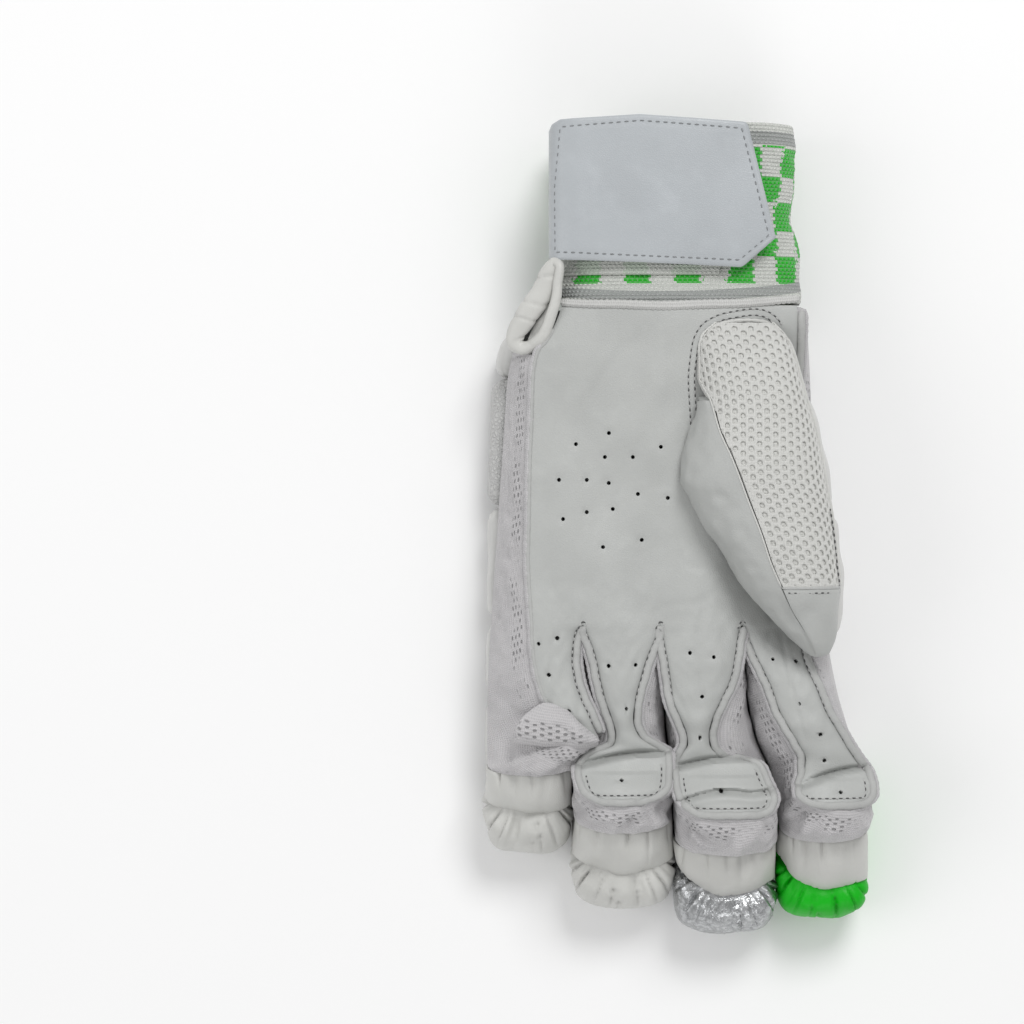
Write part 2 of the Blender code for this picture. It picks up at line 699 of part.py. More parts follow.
def oval(y, left, right, low, high, count, power=2.6):
    ring = []
    for i in range(count):
        a = 2 * math.pi * i / count
        c, s = math.cos(a), math.sin(a)
        ring.append((
            (left + right) / 2 + (right - left) / 2 * math.copysign(abs(c) ** (2 / power), c),
            y,
            (low + high) / 2 + (high - low) / 2 * math.copysign(abs(s) ** (2 / power), s),
        ))
    return ring


def wristband():
    outer = [oval(*row, 26) for row in WRISTBAND]
    inner = [oval(y, l + CUFF, r - CUFF, b + CUFF, t - CUFF, 26) for y, l, r, b, t in WRISTBAND]
    loft("wristband", outer, "cuff_knit", inner)


def strap():
    rows = []
    for x, low, high, z in STRAP_COLUMNS:
        rows.append([(x, low + (high - low) * i / 4, z) for i in range(5)])
    points, cells = grid(rows)
    wall("wrist_strap", points, facing(points, cells, (0, 0, 1)), STRAP, "strap_leather")


def tape():
    x0, x1, y0, y1, z0, z1 = TAPE
    points = [(x, y, z) for z in (z0, z1) for x, y in ((x0, y0), (x1, y0), (x1, y1), (x0, y1))]
    faces = [(3, 2, 1, 0), (4, 5, 6, 7), (0, 1, 5, 4), (1, 2, 6, 5), (2, 3, 7, 6), (3, 0, 4, 7)]
    add("closing_tape", points, faces, "tape", flat=True)


def vent():
    """Rolled edge round the slit, a closed loop."""
    count, n = len(VENT), 8
    points = []
    centre = np.array([p[:3] for p in VENT])
    for i in range(count):
        x, y, z, r = VENT[i]
        ahead = centre[(i + 1) % count] - centre[i - 1]
        ahead /= np.linalg.norm(ahead)
        side = np.cross(ahead, (0, 0, 1.0))
        side /= np.linalg.norm(side)
        up = np.cross(side, ahead)
        for j in range(n):
            a = 2 * math.pi * j / n
            p = centre[i] + r * (math.cos(a) * side + math.sin(a) * up)
            points.append(tuple(p))
    faces = []
    for i in range(count):
        k = (i + 1) % count
        for j in range(n):
            m = (j + 1) % n
            faces.append((i * n + j, k * n + j, k * n + m, i * n + m))
    add("vent_binding", points, faces, "binding")


def main():
    for old in list(bpy.data.objects):
        bpy.data.objects.remove(old, do_unlink=True)
    palm_leather()
    back_panel()
    for name in FINGERS:
        gusset(name)
        tip_band(name)
    rolls = {"little": "pad_white", "ring": "pad_white", "middle": "pad_silver", "index": "pad_green"}
    for f, name in enumerate(FINGERS):
        tip_roll(name, rolls[name])
        for part, y0, y1 in FINGER_ROWS:
            pad(f"{name}_{part}_pad", f, y0, y1, "pad_white")
        for part, y0, y1 in HAND_ROWS:
            pad(f"{name}_{part}_hand_pad", f, y0, y1, "pad_white")
    thumb()
    for part, y0, y1 in THUMB_PADS:
        thumb_pad(f"thumb_{part}_pad", y0, y1)
    wristband()
    strap()
    tape()
    vent()


main()
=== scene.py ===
import math

import bpy
import numpy as np
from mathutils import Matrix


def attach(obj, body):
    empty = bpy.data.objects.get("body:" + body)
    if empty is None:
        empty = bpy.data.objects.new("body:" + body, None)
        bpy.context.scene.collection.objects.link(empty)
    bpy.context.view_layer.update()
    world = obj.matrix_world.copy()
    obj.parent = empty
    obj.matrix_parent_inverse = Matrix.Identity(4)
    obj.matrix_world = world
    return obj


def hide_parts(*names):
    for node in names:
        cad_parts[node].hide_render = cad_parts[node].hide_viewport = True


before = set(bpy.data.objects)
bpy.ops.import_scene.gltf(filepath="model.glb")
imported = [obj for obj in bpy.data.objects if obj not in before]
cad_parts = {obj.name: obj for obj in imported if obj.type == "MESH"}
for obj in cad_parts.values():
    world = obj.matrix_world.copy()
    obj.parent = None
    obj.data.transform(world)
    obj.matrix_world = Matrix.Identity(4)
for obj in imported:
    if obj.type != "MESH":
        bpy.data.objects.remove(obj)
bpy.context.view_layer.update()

# Lengths in millimetres in the tables; the pieces are made in metres.
# X: little-finger side -X, thumb side +X.  Y: fingertips -Y, wrist +Y.  Z up from the surface it lies on.
MM = 0.001
SHIFT = np.array([1.4, 1.3, 0.0])
PAD_TOP = 22.0
PALM_Z = 44.5

PALM = [  # y, left, right
    (78.4, -42.9, 40.6), (72.5, -45.1, 40.9), (66.1, -48.6, 40.9), (61.8, -52.0, 40.9), (53.7, -53.6, 40.9),
    (44.0, -54.0, 40.9), (34.0, -54.3, 40.9), (21.0, -54.8, 41.1), (9.3, -55.0, 41.3), (-1.0, -55.2, 41.5),
    (-12.1, -55.4, 41.6), (-24.0, -54.8, 42.0), (-35.2, -54.0, 42.2),
]
CUTS_END = (-54.0, -35.5, -8.0, 21.3, 42.2)
FINGERS = ("little", "ring", "middle", "index")
RIMS = {
    "little": [  # y, left, right, z
        (-35.2, -54.0, -35.5, 45.4), (-37.8, -54.0, -38.0, 45.0), (-47.5, -53.2, -39.2, 45.0), (-54.6, -51.8, -38.2, 45.0),
        (-61.7, -49.3, -35.8, 45.0), (-67.1, -46.1, -33.2, 44.5), (-75.9, -43.7, -30.0, 44.0),
    ],
    "ring": [
        (-35.2, -35.5, -8.0, 45.4), (-37.8, -34.4, -8.9, 45.0), (-47.5, -30.9, -12.8, 45.0), (-54.6, -29.5, -14.9, 45.0),
        (-61.7, -27.7, -16.7, 44.5), (-68.8, -25.2, -17.4, 43.5), (-74.2, -23.8, -15.6, 42.5), (-77.7, -24.5, -11.0, 42.0),
        (-81.2, -33.0, -5.4, 42.5), (-86.4, -37.3, -5.0, 45.5), (-92.9, -35.8, -5.9, 51.0), (-97.3, -29.8, -13.9, 53.0),
    ],
    "middle": [
        (-35.2, -8.0, 21.3, 45.4), (-37.8, -7.5, 20.2, 45.0), (-47.5, -5.7, 18.5, 45.0), (-54.6, -4.6, 17.0, 44.5),
        (-61.7, -3.5, 13.8, 44.0), (-68.8, -0.7, 10.7, 43.0), (-74.2, 1.4, 9.6, 42.0), (-77.7, 1.8, 9.9, 41.8),
        (-81.2, -0.4, 13.0, 42.0), (-84.7, -2.6, 27.2, 43.5), (-89.7, -2.6, 29.4, 47.0), (-96.4, -1.2, 31.9, 52.0),
        (-101.8, 4.6, 29.2, 54.0),
    ],
    "index": [
        (-35.2, 21.3, 42.2, 45.4), (-37.8, 22.6, 42.2, 45.0), (-45.8, 25.9, 43.0, 45.0), (-58.2, 31.6, 47.9, 45.0),
        (-66.0, 34.4, 51.1, 44.5), (-72.4, 38.0, 55.0, 44.0), (-77.7, 41.2, 58.2, 43.5), (-83.0, 43.6, 61.8, 43.0),
        (-87.2, 43.0, 65.2, 44.0), (-91.5, 40.9, 67.0, 47.5), (-94.8, 40.5, 67.0, 50.0), (-98.4, 46.5, 64.0, 52.5),
    ],
}
CREASES = {  # left x, y, right x, y of the fold at the last joint
    "little": None,
    "ring": (-35.1, -86.0, -7.7, -82.0),
    "middle": (-1.8, -87.0, 24.0, -83.8),
    "index": (42.8, -92.6, 66.6, -87.2),
}
EDGES = [  # y, little side, little|ring, ring|middle, middle|index, thumb side
    (90.0, -60.0, -34.0, -8.5, 18.0, 45.0), (70.0, -64.0, -36.0, -8.5, 19.0, 46.5), (50.0, -68.0, -36.5, -8.5, 19.5, 47.5),
    (7.0, -69.5, -36.5, -8.0, 20.5, 49.0), (-35.0, -70.0, -35.4, -6.9, 22.5, 52.6), (-45.0, -70.2, -35.6, -6.6, 22.9, 54.2),
    (-60.0, -70.4, -36.2, -6.0, 23.8, 57.2), (-77.0, -70.4, -37.6, -4.8, 27.5, 62.2), (-90.0, -70.4, -38.8, -3.3, 33.0, 66.6),
    (-105.0, -70.4, -39.0, -2.6, 34.8, 67.5), (-150.0, -70.6, -38.8, -1.7, 35.4, 67.6),
]
TIPS = {  # knit side y, knit tip y, band side y, band tip y, roll end y, knit tip z, band tip z
    "little": (-85.6, -89.0, -100.9, -104.4, -119.4, 42.0, 27.5),
    "ring": (-103.4, -109.2, -120.5, -126.1, -139.4, 43.0, 28.0),
    "middle": (-111.5, -117.3, -128.5, -134.4, -148.5, 43.0, 28.0),
    "index": (-107.5, -112.6, -124.4, -131.9, -143.0, 43.0, 28.0),
}
SIDE_Z = (26.4, 23.0)
HAND_ROWS = (("wrist", 70.0, 54.2), ("mid", 53.6, 7.2), ("knuckle", 6.6, -34.2))
FINGER_ROWS = (("base", -34.8, -61.8), ("middle", -62.4, -90.4))
TIP_START = -91.0
THUMB = [  # y, left, seam, right, crest z, right edge z
    (72.6, 12.2, 12.2, 31.2, 48.0, 46.0), (67.6, 6.8, 6.9, 36.1, 52.0, 46.0), (63.0, 5.5, 5.8, 38.4, 56.0, 46.8),
    (53.0, 5.2, 5.6, 41.3, 61.5, 47.6), (44.1, 5.4, 9.1, 43.7, 64.5, 48.4), (33.6, 2.0, 11.8, 46.7, 66.5, 49.0),
    (23.1, -0.9, 16.2, 48.9, 68.0, 49.6), (16.8, -1.2, 18.6, 49.9, 68.2, 50.0), (9.2, 3.0, 21.4, 51.3, 68.2, 50.0),
    (-2.3, 8.5, 25.9, 53.1, 68.0, 50.0), (-13.5, 15.6, 29.8, 54.2, 67.0, 50.0), (-21.5, 20.9, 33.4, 55.0, 65.6, 50.0),
    (-30.3, 28.4, 37.8, 54.6, 62.5, 49.6), (-39.9, 37.6, 44.0, 52.7, 57.0, 49.0), (-45.0, 43.8, 46.6, 50.8, 52.4, 48.6),
]
THUMB_TIP_Y = -21.5
WRISTBAND = [  # y, left, right, bottom z, top z
    (144.0, -44.0, 41.3, 3.0, 42.4), (134.0, -44.2, 41.6, 4.0, 42.6), (125.0, -44.4, 41.2, 5.5, 42.8),
    (113.5, -44.6, 39.5, 8.5, 42.8), (102.0, -45.2, 40.9, 12.5, 43.0), (92.5, -46.0, 42.5, 17.0, 43.2),
    (79.2, -43.6, 42.8, 21.4, 43.6),
]
VENT = [  # x, y, z, half width, half height of the rolled edge
    (-45.9, 93.0, 45.0, 2.3, 1.7), (-47.9, 88.4, 44.8, 3.6, 1.9), (-50.8, 81.6, 43.8, 4.1, 2.1), (-55.0, 75.6, 42.6, 4.1, 2.3),
    (-58.2, 70.8, 41.2, 3.7, 2.3), (-59.6, 66.2, 40.2, 3.1, 2.1), (-57.6, 63.6, 40.0, 2.6, 2.0), (-54.0, 63.9, 41.4, 2.3, 1.8),
    (-50.3, 67.2, 43.9, 2.2, 1.7), (-47.5, 72.4, 45.6, 2.0, 1.7), (-45.6, 78.6, 46.6, 1.9, 1.7), (-44.6, 84.8, 46.8, 1.8, 1.7),
    (-43.8, 91.6, 46.4, 1.7, 1.6),
]
BAND_BEND = {"little": 1.3, "ring": 1.5, "middle": 1.9, "index": 1.9}
BAND_SIDES = {"little": (-98.0, -100.5), "ring": (-118.5, -119.5), "middle": (-121.5, -127.5), "index": (-118.0, -127.5)}
PALM_HOLES = [
    (-26.3, 33.0), (-38.0, 29.1), (-7.9, 28.1), (-27.7, 24.5), (-17.8, 24.5), (-44.0, 16.4), (-34.1, 16.4), (-26.3, 15.3),
    (-16.0, 11.4), (-5.4, 10.0), (-24.9, 6.1), (-34.1, 5.0), (-42.6, 2.5), (-14.6, -4.9), (-28.4, -7.4),
]
FINGER_HOLES = {
    "little": [(-51.4, -41.8), (-44.7, -39.7), (-47.6, -52.8), (-40.5, -65.6)],
    "ring": [(-26.6, -49.6), (-16.7, -49.3), (-19.9, -64.9), (-22.0, -89.4)],
    "middle": [(2.4, -45.0), (10.9, -46.4), (6.7, -60.6), (6.3, -75.5), (13.1, -93.4)],
    "index": [(31.9, -47.1), (40.4, -47.8), (41.1, -63.1), (48.9, -74.1), (50.4, -83.4), (55.3, -93.6)],
}


# ------------------------------------------------------------------ numbers
def smooth(t):
    t = np.clip(t, 0.0, 1.0)
    return t * t * (3 - 2 * t)


def spline(xs, ys):
    """Smooth curve through the points that never overshoots them."""
    xs, ys = np.asarray(xs, float), np.asarray(ys, float)
    if xs[0] > xs[-1]:
        xs, ys = xs[::-1], ys[::-1]
    h = np.diff(xs)
    d = np.diff(ys) / h
    m = np.zeros_like(ys)
    m[0], m[-1] = d[0], d[-1]
    for i in range(1, len(ys) - 1):
        if d[i - 1] * d[i] > 0:
            w1, w2 = 2 * h[i] + h[i - 1], h[i] + 2 * h[i - 1]
            m[i] = (w1 + w2) / (w1 / d[i - 1] + w2 / d[i])

    def value(x):
        x = np.clip(np.asarray(x, float), xs[0], xs[-1])
        i = np.clip(np.searchsorted(xs, x) - 1, 0, len(h) - 1)
        t = (x - xs[i]) / h[i]
        a, b = ys[i], ys[i + 1]
        return (
            (1 + 2 * t) * (1 - t) ** 2 * a + t * (1 - t) ** 2 * h[i] * m[i]
            + t * t * (3 - 2 * t) * b + t * t * (t - 1) * h[i] * m[i + 1]
        )

    return value


def columns(table):
    ys = [r[0] for r in table]
    return [spline(ys, [r[k] for r in table]) for k in range(1, len(table[0]))]


palm_left, palm_right = columns(PALM)
rim = {name: columns(RIMS[name]) for name in FINGERS}
edges = columns(EDGES)
th_left, th_seam, th_right, th_crest, th_low = columns(THUMB)


def waves(seed, count=14):
    rng = np.random.default_rng(seed)
    d = rng.normal(size=(count, 3))
    d /= np.linalg.norm(d, axis=1)[:, None]
    return d * rng.uniform(0.7, 1.5, (count, 1)), rng.uniform(0, 2 * math.pi, count)


def fuzz(p, scale, seed):
    """Smooth irregular field about -1 to 1, with features of the given size in mm."""
    d, phase = waves(seed)
    p = np.asarray(p, float)
    total = np.zeros(p.shape[:-1])
    for k in range(len(d)):
        total += np.sin((p @ d[k]) * (2 * math.pi / scale) + phase[k] + 1.3 * np.sin((p @ d[(k + 5) % len(d)]) * (1.7 / scale)))
    return total / 3.2


def creasing(p, scale, seed):
    """Narrow valleys between soft lobes, as in crumpled leather. 0 in the lobes, -1 in the valleys."""
    f = fuzz(p, scale, seed)
    return -np.exp(-(f / 0.22) ** 2)


# ------------------------------------------------------------------ meshes
def normals_of(points, cells):
    a, b, c, d = (points[cells[:, i]] for i in range(4))
    n = np.cross(c - a, d - b)
    length = np.linalg.norm(n, axis=1)
    length[length < 1e-12] = 1.0
    n /= length[:, None]
    total = np.zeros_like(points)
    for i in range(4):
        np.add.at(total, cells[:, i], n)
    length = np.linalg.norm(total, axis=1)
    length[length < 1e-9] = 1.0
    return total / length[:, None]


def grid_cells(rows, cols, closed=False):
    i, j = np.meshgrid(np.arange(rows - 1), np.arange(cols if closed else cols - 1), indexing="ij")
    k = (j + 1) % cols
    return np.stack([i * cols + j, i * cols + k, (i + 1) * cols + k, (i + 1) * cols + j], axis=-1).reshape(-1, 4)


def make(name, points, faces, look, slot, uv=None, flat=False, angle=50, subdivide=0):
    points = (np.asarray(points, float) + SHIFT) * MM
    mesh = bpy.data.meshes.new(name)
    mesh.from_pydata(points.tolist(), [], [tuple(int(v) for v in f) for f in faces])
    if uv is not None:
        layer = mesh.uv_layers.new(name="UVMap")
        loops = np.zeros(len(mesh.loops), dtype=np.int32)
        mesh.loops.foreach_get("vertex_index", loops)
        layer.data.foreach_set("uv", np.asarray(uv, np.float32)[loops].reshape(-1))
    mesh.polygons.foreach_set("use_smooth", [not flat] * len(mesh.polygons))
    mesh.update()
    if not flat and angle:
        mesh.set_sharp_from_angle(angle=math.radians(angle))
    made = bpy.data.objects.new(name, mesh)
    bpy.context.scene.collection.objects.link(made)
    made.data.materials.append(look)
    if subdivide:
        mod = made.modifiers.new("Subdivision", "SUBSURF")
        mod.levels = mod.render_levels = subdivide
    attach(made, "root")
    return made


def outward(points, cells, toward):
    a, b, c, d = (points[cells[:, i]] for i in range(4))
    total = np.cross(c - a, d - b).sum(axis=0)
    return cells[:, ::-1].copy() if np.dot(total, toward) < 0 else cells


def shell(name, points, cells, thickness, look, slot, uv=None, raise_by=None, subdivide=0, angle=50, rounded=0.0):
    """Closed body from a sheet whose given side is the outside. raise_by lifts each point along the normal."""
    points = np.asarray(points, float)
    cells = np.asarray(cells)
    n = normals_of(points, cells)
    if raise_by is not None:
        points = points + n * np.asarray(raise_by)[:, None]
        n = normals_of(points, cells)
    inner = points - n * thickness
    count = len(points)
    e = np.concatenate([cells[:, [0, 1]], cells[:, [1, 2]], cells[:, [2, 3]], cells[:, [3, 0]]])
    key = e[:, 0].astype(np.int64) * (count + 1) + e[:, 1]
    back = e[:, 1].astype(np.int64) * (count + 1) + e[:, 0]
    rim_edges = e[~np.isin(key, back)]
    faces = np.concatenate([
        cells, cells[:, ::-1] + count,
        np.stack([rim_edges[:, 1], rim_edges[:, 0], rim_edges[:, 0] + count, rim_edges[:, 1] + count], axis=1),
    ])
    if rounded:
        border = np.unique(rim_edges)
        points = points.copy()
        points[border] -= n[border] * rounded
    if uv is not None:
        uv = np.concatenate([uv, uv])
    return make(name, np.concatenate([points, inner]), faces, look, slot, uv=uv, subdivide=subdivide, angle=angle)


class Parts:
    """Collects small shapes into one piece."""

    def __init__(self):
        self.points, self.faces, self.uv, self.count = [], [], [], 0

    def add(self, points, faces, uv=None):
        points = np.asarray(points, float)
        self.points.append(points)
        self.uv.append(np.zeros((len(points), 2)) if uv is None else np.asarray(uv, float))
        self.faces += [tuple(int(v) + self.count for v in f) for f in faces]
        self.count += len(points)

    def make(self, name, look, slot, **more):
        return make(name, np.concatenate(self.points), self.faces, look, slot, uv=np.concatenate(self.uv), **more)


# near-black strands between the stitches: painted shade of the needle holes
NEEDLE_HOLE_SHADE = Parts()


def resample(path, step):
    path = np.asarray(path, float)
    d = np.r_[0, np.cumsum(np.linalg.norm(np.diff(path, axis=0), axis=1))]
    count = max(2, int(round(d[-1] / step)) + 1)
    s = np.linspace(0, d[-1], count)
    return np.stack([np.interp(s, d, path[:, k]) for k in range(3)], axis=1), s


def soften(path, passes=2, closed=False):
    """Rounds a path's corners."""
    path = np.asarray(path, float)
    for _ in range(passes):
        if closed:
            path = (np.roll(path, 1, 0) + 2 * path + np.roll(path, -1, 0)) / 4
        else:
            mid = (path[:-2] + 2 * path[1:-1] + path[2:]) / 4
            path = np.concatenate([path[:1], mid, path[-1:]])
    return path


def tube(path, wide, tall=None, sides=10, closed=False, wrinkle=None, taper=True):
    """Points, faces and uv of a rolled edge along a path. wide and tall are half sizes."""
    path = np.asarray(path, float)
    n = len(path)
    wide = np.broadcast_to(np.asarray(wide, float), n).copy()
    tall = wide.copy() if tall is None else np.broadcast_to(np.asarray(tall, float), n).copy()
    if taper and not closed:
        for k, f in ((0, 0.45), (1, 0.85), (-1, 0.45), (-2, 0.85)):
            wide[k] *= f
            tall[k] *= f
    ahead = np.roll(path, -1, 0) - np.roll(path, 1, 0) if closed else np.gradient(path, axis=0)
    ahead /= np.maximum(np.linalg.norm(ahead, axis=1), 1e-9)[:, None]
    side = np.cross(ahead, np.array([0, 0, 1.0]))
    length = np.linalg.norm(side, axis=1)
    side /= np.maximum(length, 1e-6)[:, None]
    up = np.cross(side, ahead)
    s = np.r_[0, np.cumsum(np.linalg.norm(np.diff(path, axis=0), axis=1))]
    a = np.linspace(0, 2 * math.pi, sides, endpoint=False)
    c, w = np.cos(a), np.sin(a)
    extra = 0.0
    if wrinkle is not None:
        extra = wrinkle(s[:, None], a[None, :])[:, :, None]
    radial = c[None, :, None] * side[:, None, :] * wide[:, None, None] + w[None, :, None] * up[:, None, :] * tall[:, None, None]
    unit = radial / np.maximum(np.linalg.norm(radial, axis=2, keepdims=True), 1e-9)
    points = (path[:, None, :] + radial + unit * extra).reshape(-1, 3)
    uv = np.stack([np.repeat(s, sides), np.tile(a / (2 * math.pi) * 6, n)], axis=1)
    faces = []
    last = n if closed else n - 1
    for i in range(last):
        k = (i + 1) % n
        for j in range(sides):
            m = (j + 1) % sides
            faces.append((i * sides + j, k * sides + j, k * sides + m, i * sides + m))
    if not closed:
        faces.append(tuple(range(sides)))
        faces.append(tuple((n - 1) * sides + j for j in reversed(range(sides))))
    return points, faces, uv


def stitch_line(parts, path, pitch=2.7, length=1.6, radius=0.24, lift=0.12, holes=True):
    """Separate sewn stitches along a path, each sinking at its ends, with near-black strands between them: painted
    shade of the needle holes.
    """
    path, s = resample(path, 0.4)
    total = s[-1]
    count = max(1, int(total / pitch))
    pitch = total / count
    for k in range(count):
        a = k * pitch + (pitch - length) / 2
        t = np.linspace(a, a + length, 5)
        p = np.stack([np.interp(t, s, path[:, i]) for i in range(3)], axis=1)
        p[:, 2] += lift + np.array([-0.28, 0.02, 0.1, 0.02, -0.28])
        points, faces, uv = tube(p, np.array([0.7, 1, 1, 1, 0.7]) * radius, sides=6, taper=False)
        parts.add(points, faces, uv)
        if holes:
            # a near-black strand across the gap: painted shade of the needle holes
            t = np.linspace(a - (pitch - length) - 0.12, a + 0.12, 4)
            p = np.stack([np.interp(t, s, path[:, i]) for i in range(3)], axis=1)
            p[:, 2] += lift - 0.10 + np.array([-0.12, 0.0, 0.0, -0.12])
            points, faces, uv = tube(p, np.array([0.7, 1, 1, 0.7]) * 0.30, sides=6, taper=False)
            NEEDLE_HOLE_SHADE.add(points, faces, uv)


# ------------------------------------------------------------------ materials
class Val:
    """A number inside a material's node tree."""

    def __init__(self, tree, socket):
        self.tree, self.socket = tree, socket

    def _op(self, kind, *others, clamp=False):
        node = self.tree.nodes.new("ShaderNodeMath")
        node.operation = kind
        node.use_clamp = clamp
        for i, value in enumerate((self, *others)):
            if isinstance(value, Val):
                self.tree.links.new(value.socket, node.inputs[i])
            else:
                node.inputs[i].default_value = float(value)
        return Val(self.tree, node.outputs[0])

    def __add__(self, o): return self._op("ADD", o)
    def __sub__(self, o): return self._op("SUBTRACT", o)
    def __mul__(self, o): return self._op("MULTIPLY", o)
    def __truediv__(self, o): return self._op("DIVIDE", o)
    __radd__ = __add__
    __rmul__ = __mul__

    def __rsub__(self, o): return (self * -1.0)._op("ADD", o)
    def floor(self): return self._op("FLOOR")
    def fract(self): return self._op("FRACT")
    def sin(self): return self._op("SINE")
    def abs(self): return self._op("ABSOLUTE")
    def sqrt(self): return self._op("SQRT")
    def power(self, o): return self._op("POWER", o)
    def above(self, o): return self._op("GREATER_THAN", o)
    def below(self, o): return self._op("LESS_THAN", o)
    def least(self, o): return self._op("MINIMUM", o)
    def most(self, o): return self._op("MAXIMUM", o)

    def ramp(self, lo, hi, out_lo=0.0, out_hi=1.0):
        node = self.tree.nodes.new("ShaderNodeMapRange")
        node.interpolation_type = "SMOOTHSTEP"
        self.tree.links.new(self.socket, node.inputs[0])
        for i, v in ((1, lo), (2, hi), (3, out_lo), (4, out_hi)):
            node.inputs[i].default_value = v
        return Val(self.tree, node.outputs[0])


class Look:
    """A Principled material whose colour and bump come from patterns in millimetres."""

    def __init__(self, name, rgb, rough=0.5, metal=0.0, sheen=0.0, coat=0.0, specular=0.5, subsurface=0.0):
        self.mat = bpy.data.materials.new(name)
        self.mat.use_nodes = True
        self.tree = self.mat.node_tree
        self.shader = self.tree.nodes["Principled BSDF"]
        self.shader.inputs["Roughness"].default_value = rough
        self.shader.inputs["Metallic"].default_value = metal
        self.shader.inputs["Specular IOR Level"].default_value = specular
        if sheen:
            self.shader.inputs["Sheen Weight"].default_value = sheen
            self.shader.inputs["Sheen Roughness"].default_value = 0.5
        if coat:
            self.shader.inputs["Coat Weight"].default_value = coat
            self.shader.inputs["Coat Roughness"].default_value = 0.25
        self.rgb = rgb
        self.rough = rough
        coord = self.tree.nodes.new("ShaderNodeTexCoord")
        scale = self.tree.nodes.new("ShaderNodeVectorMath")
        scale.operation = "SCALE"
        scale.inputs["Scale"].default_value = 1000.0
        self.tree.links.new(coord.outputs["Object"], scale.inputs[0])
        self.place = scale.outputs[0]
        split = self.tree.nodes.new("ShaderNodeSeparateXYZ")
        self.tree.links.new(self.place, split.inputs[0])
        self.x, self.y, self.z = (Val(self.tree, split.outputs[i]) for i in range(3))
        self.uv_vector = coord.outputs["UV"]
        split = self.tree.nodes.new("ShaderNodeSeparateXYZ")
        self.tree.links.new(coord.outputs["UV"], split.inputs[0])
        self.u, self.v = Val(self.tree, split.outputs[0]), Val(self.tree, split.outputs[1])

    def noise(self, size, detail=3.0, uv=False, stretch=None):
        """Noise from 0 to 1 with features of about this size in mm."""
        node = self.tree.nodes.new("ShaderNodeTexNoise")
        node.inputs["Scale"].default_value = 1.0 / size
        node.inputs["Detail"].default_value = detail
        source = self.uv_vector if uv else self.place
        if stretch:
            mapping = self.tree.nodes.new("ShaderNodeMapping")
            mapping.inputs["Scale"].default_value = stretch
            self.tree.links.new(source, mapping.inputs[0])
            source = mapping.outputs[0]
        self.tree.links.new(source, node.inputs["Vector"])
        return Val(self.tree, node.outputs[0])

    def cells(self, size, feature="DISTANCE_TO_EDGE", uv=False):
        node = self.tree.nodes.new("ShaderNodeTexVoronoi")
        node.feature = feature
        node.inputs["Scale"].default_value = 1.0 / size
        self.tree.links.new(self.uv_vector if uv else self.place, node.inputs["Vector"])
        return Val(self.tree, node.outputs["Distance"])

    def finish(self, tint=None, dark=None, bump=None, rough=None):
        """tint: 0..1 mixes to each (value, colour) in turn. bump is a height in mm."""
        colour = self.tree.nodes.new("ShaderNodeRGB")
        colour.outputs[0].default_value = (*self.rgb, 1.0)
        socket = colour.outputs[0]
        for value, rgb in tint or ():
            mix = self.tree.nodes.new("ShaderNodeMix")
            mix.data_type = "RGBA"
            self.tree.links.new(value.socket, mix.inputs[0])
            self.tree.links.new(socket, mix.inputs[6])
            mix.inputs[7].default_value = (*rgb, 1.0)
            socket = mix.outputs[2]
        self.tree.links.new(socket, self.shader.inputs["Base Color"])
        if bump is not None:
            node = self.tree.nodes.new("ShaderNodeBump")
            node.inputs["Strength"].default_value = 1.0
            node.inputs["Distance"].default_value = 0.001
            self.tree.links.new(bump.socket, node.inputs["Height"])
            self.tree.links.new(node.outputs[0], self.shader.inputs["Normal"])
        if rough is not None:
            self.tree.links.new(rough.socket, self.shader.inputs["Roughness"])
        return self.mat


def leather(name, rgb, rough, grain=0.05, metal=0.0, coat=0.0, crinkle=0.0, specular=0.5):
    look = Look(name, rgb, rough, metal=metal, coat=coat, specular=specular)
    big = look.noise(22.0, 4.0)
    fine = look.noise(1.6, 4.0)
    pore = look.cells(0.75)
    tone = tuple(c * 0.86 for c in rgb)
    pale = tuple(min(1.0, c * 1.10 + 0.01) for c in rgb)
    tint = [(big.ramp(0.35, 0.75, 0.0, 0.55), tone), (look.noise(9.0, 3.0).ramp(0.5, 0.8, 0.0, 0.4), pale)]
    height = fine * (grain * 0.6) + pore.ramp(0.0, 0.28, 0.0, 1.0) * grain + big * 0.12
    if crinkle:
        folds = (look.noise(3.2, 4.0) - 0.5).abs().ramp(0.0, 0.12, 0.0, 1.0)
        small = (look.noise(1.3, 3.0) - 0.5).abs().ramp(0.0, 0.14, 0.0, 1.0)
        height = height + folds * (crinkle * 0.45) + small * (crinkle * 0.3)
        # the crinkle valleys are also darkened in colour: painted shade in the creases
        tint.append((folds.ramp(0.0, 1.0, 0.5, 0.0), tuple(c * 0.5 for c in rgb)))
    return look.finish(tint=tint, bump=height, rough=(big * 0.16 + fine * 0.10) + (rough - 0.13))


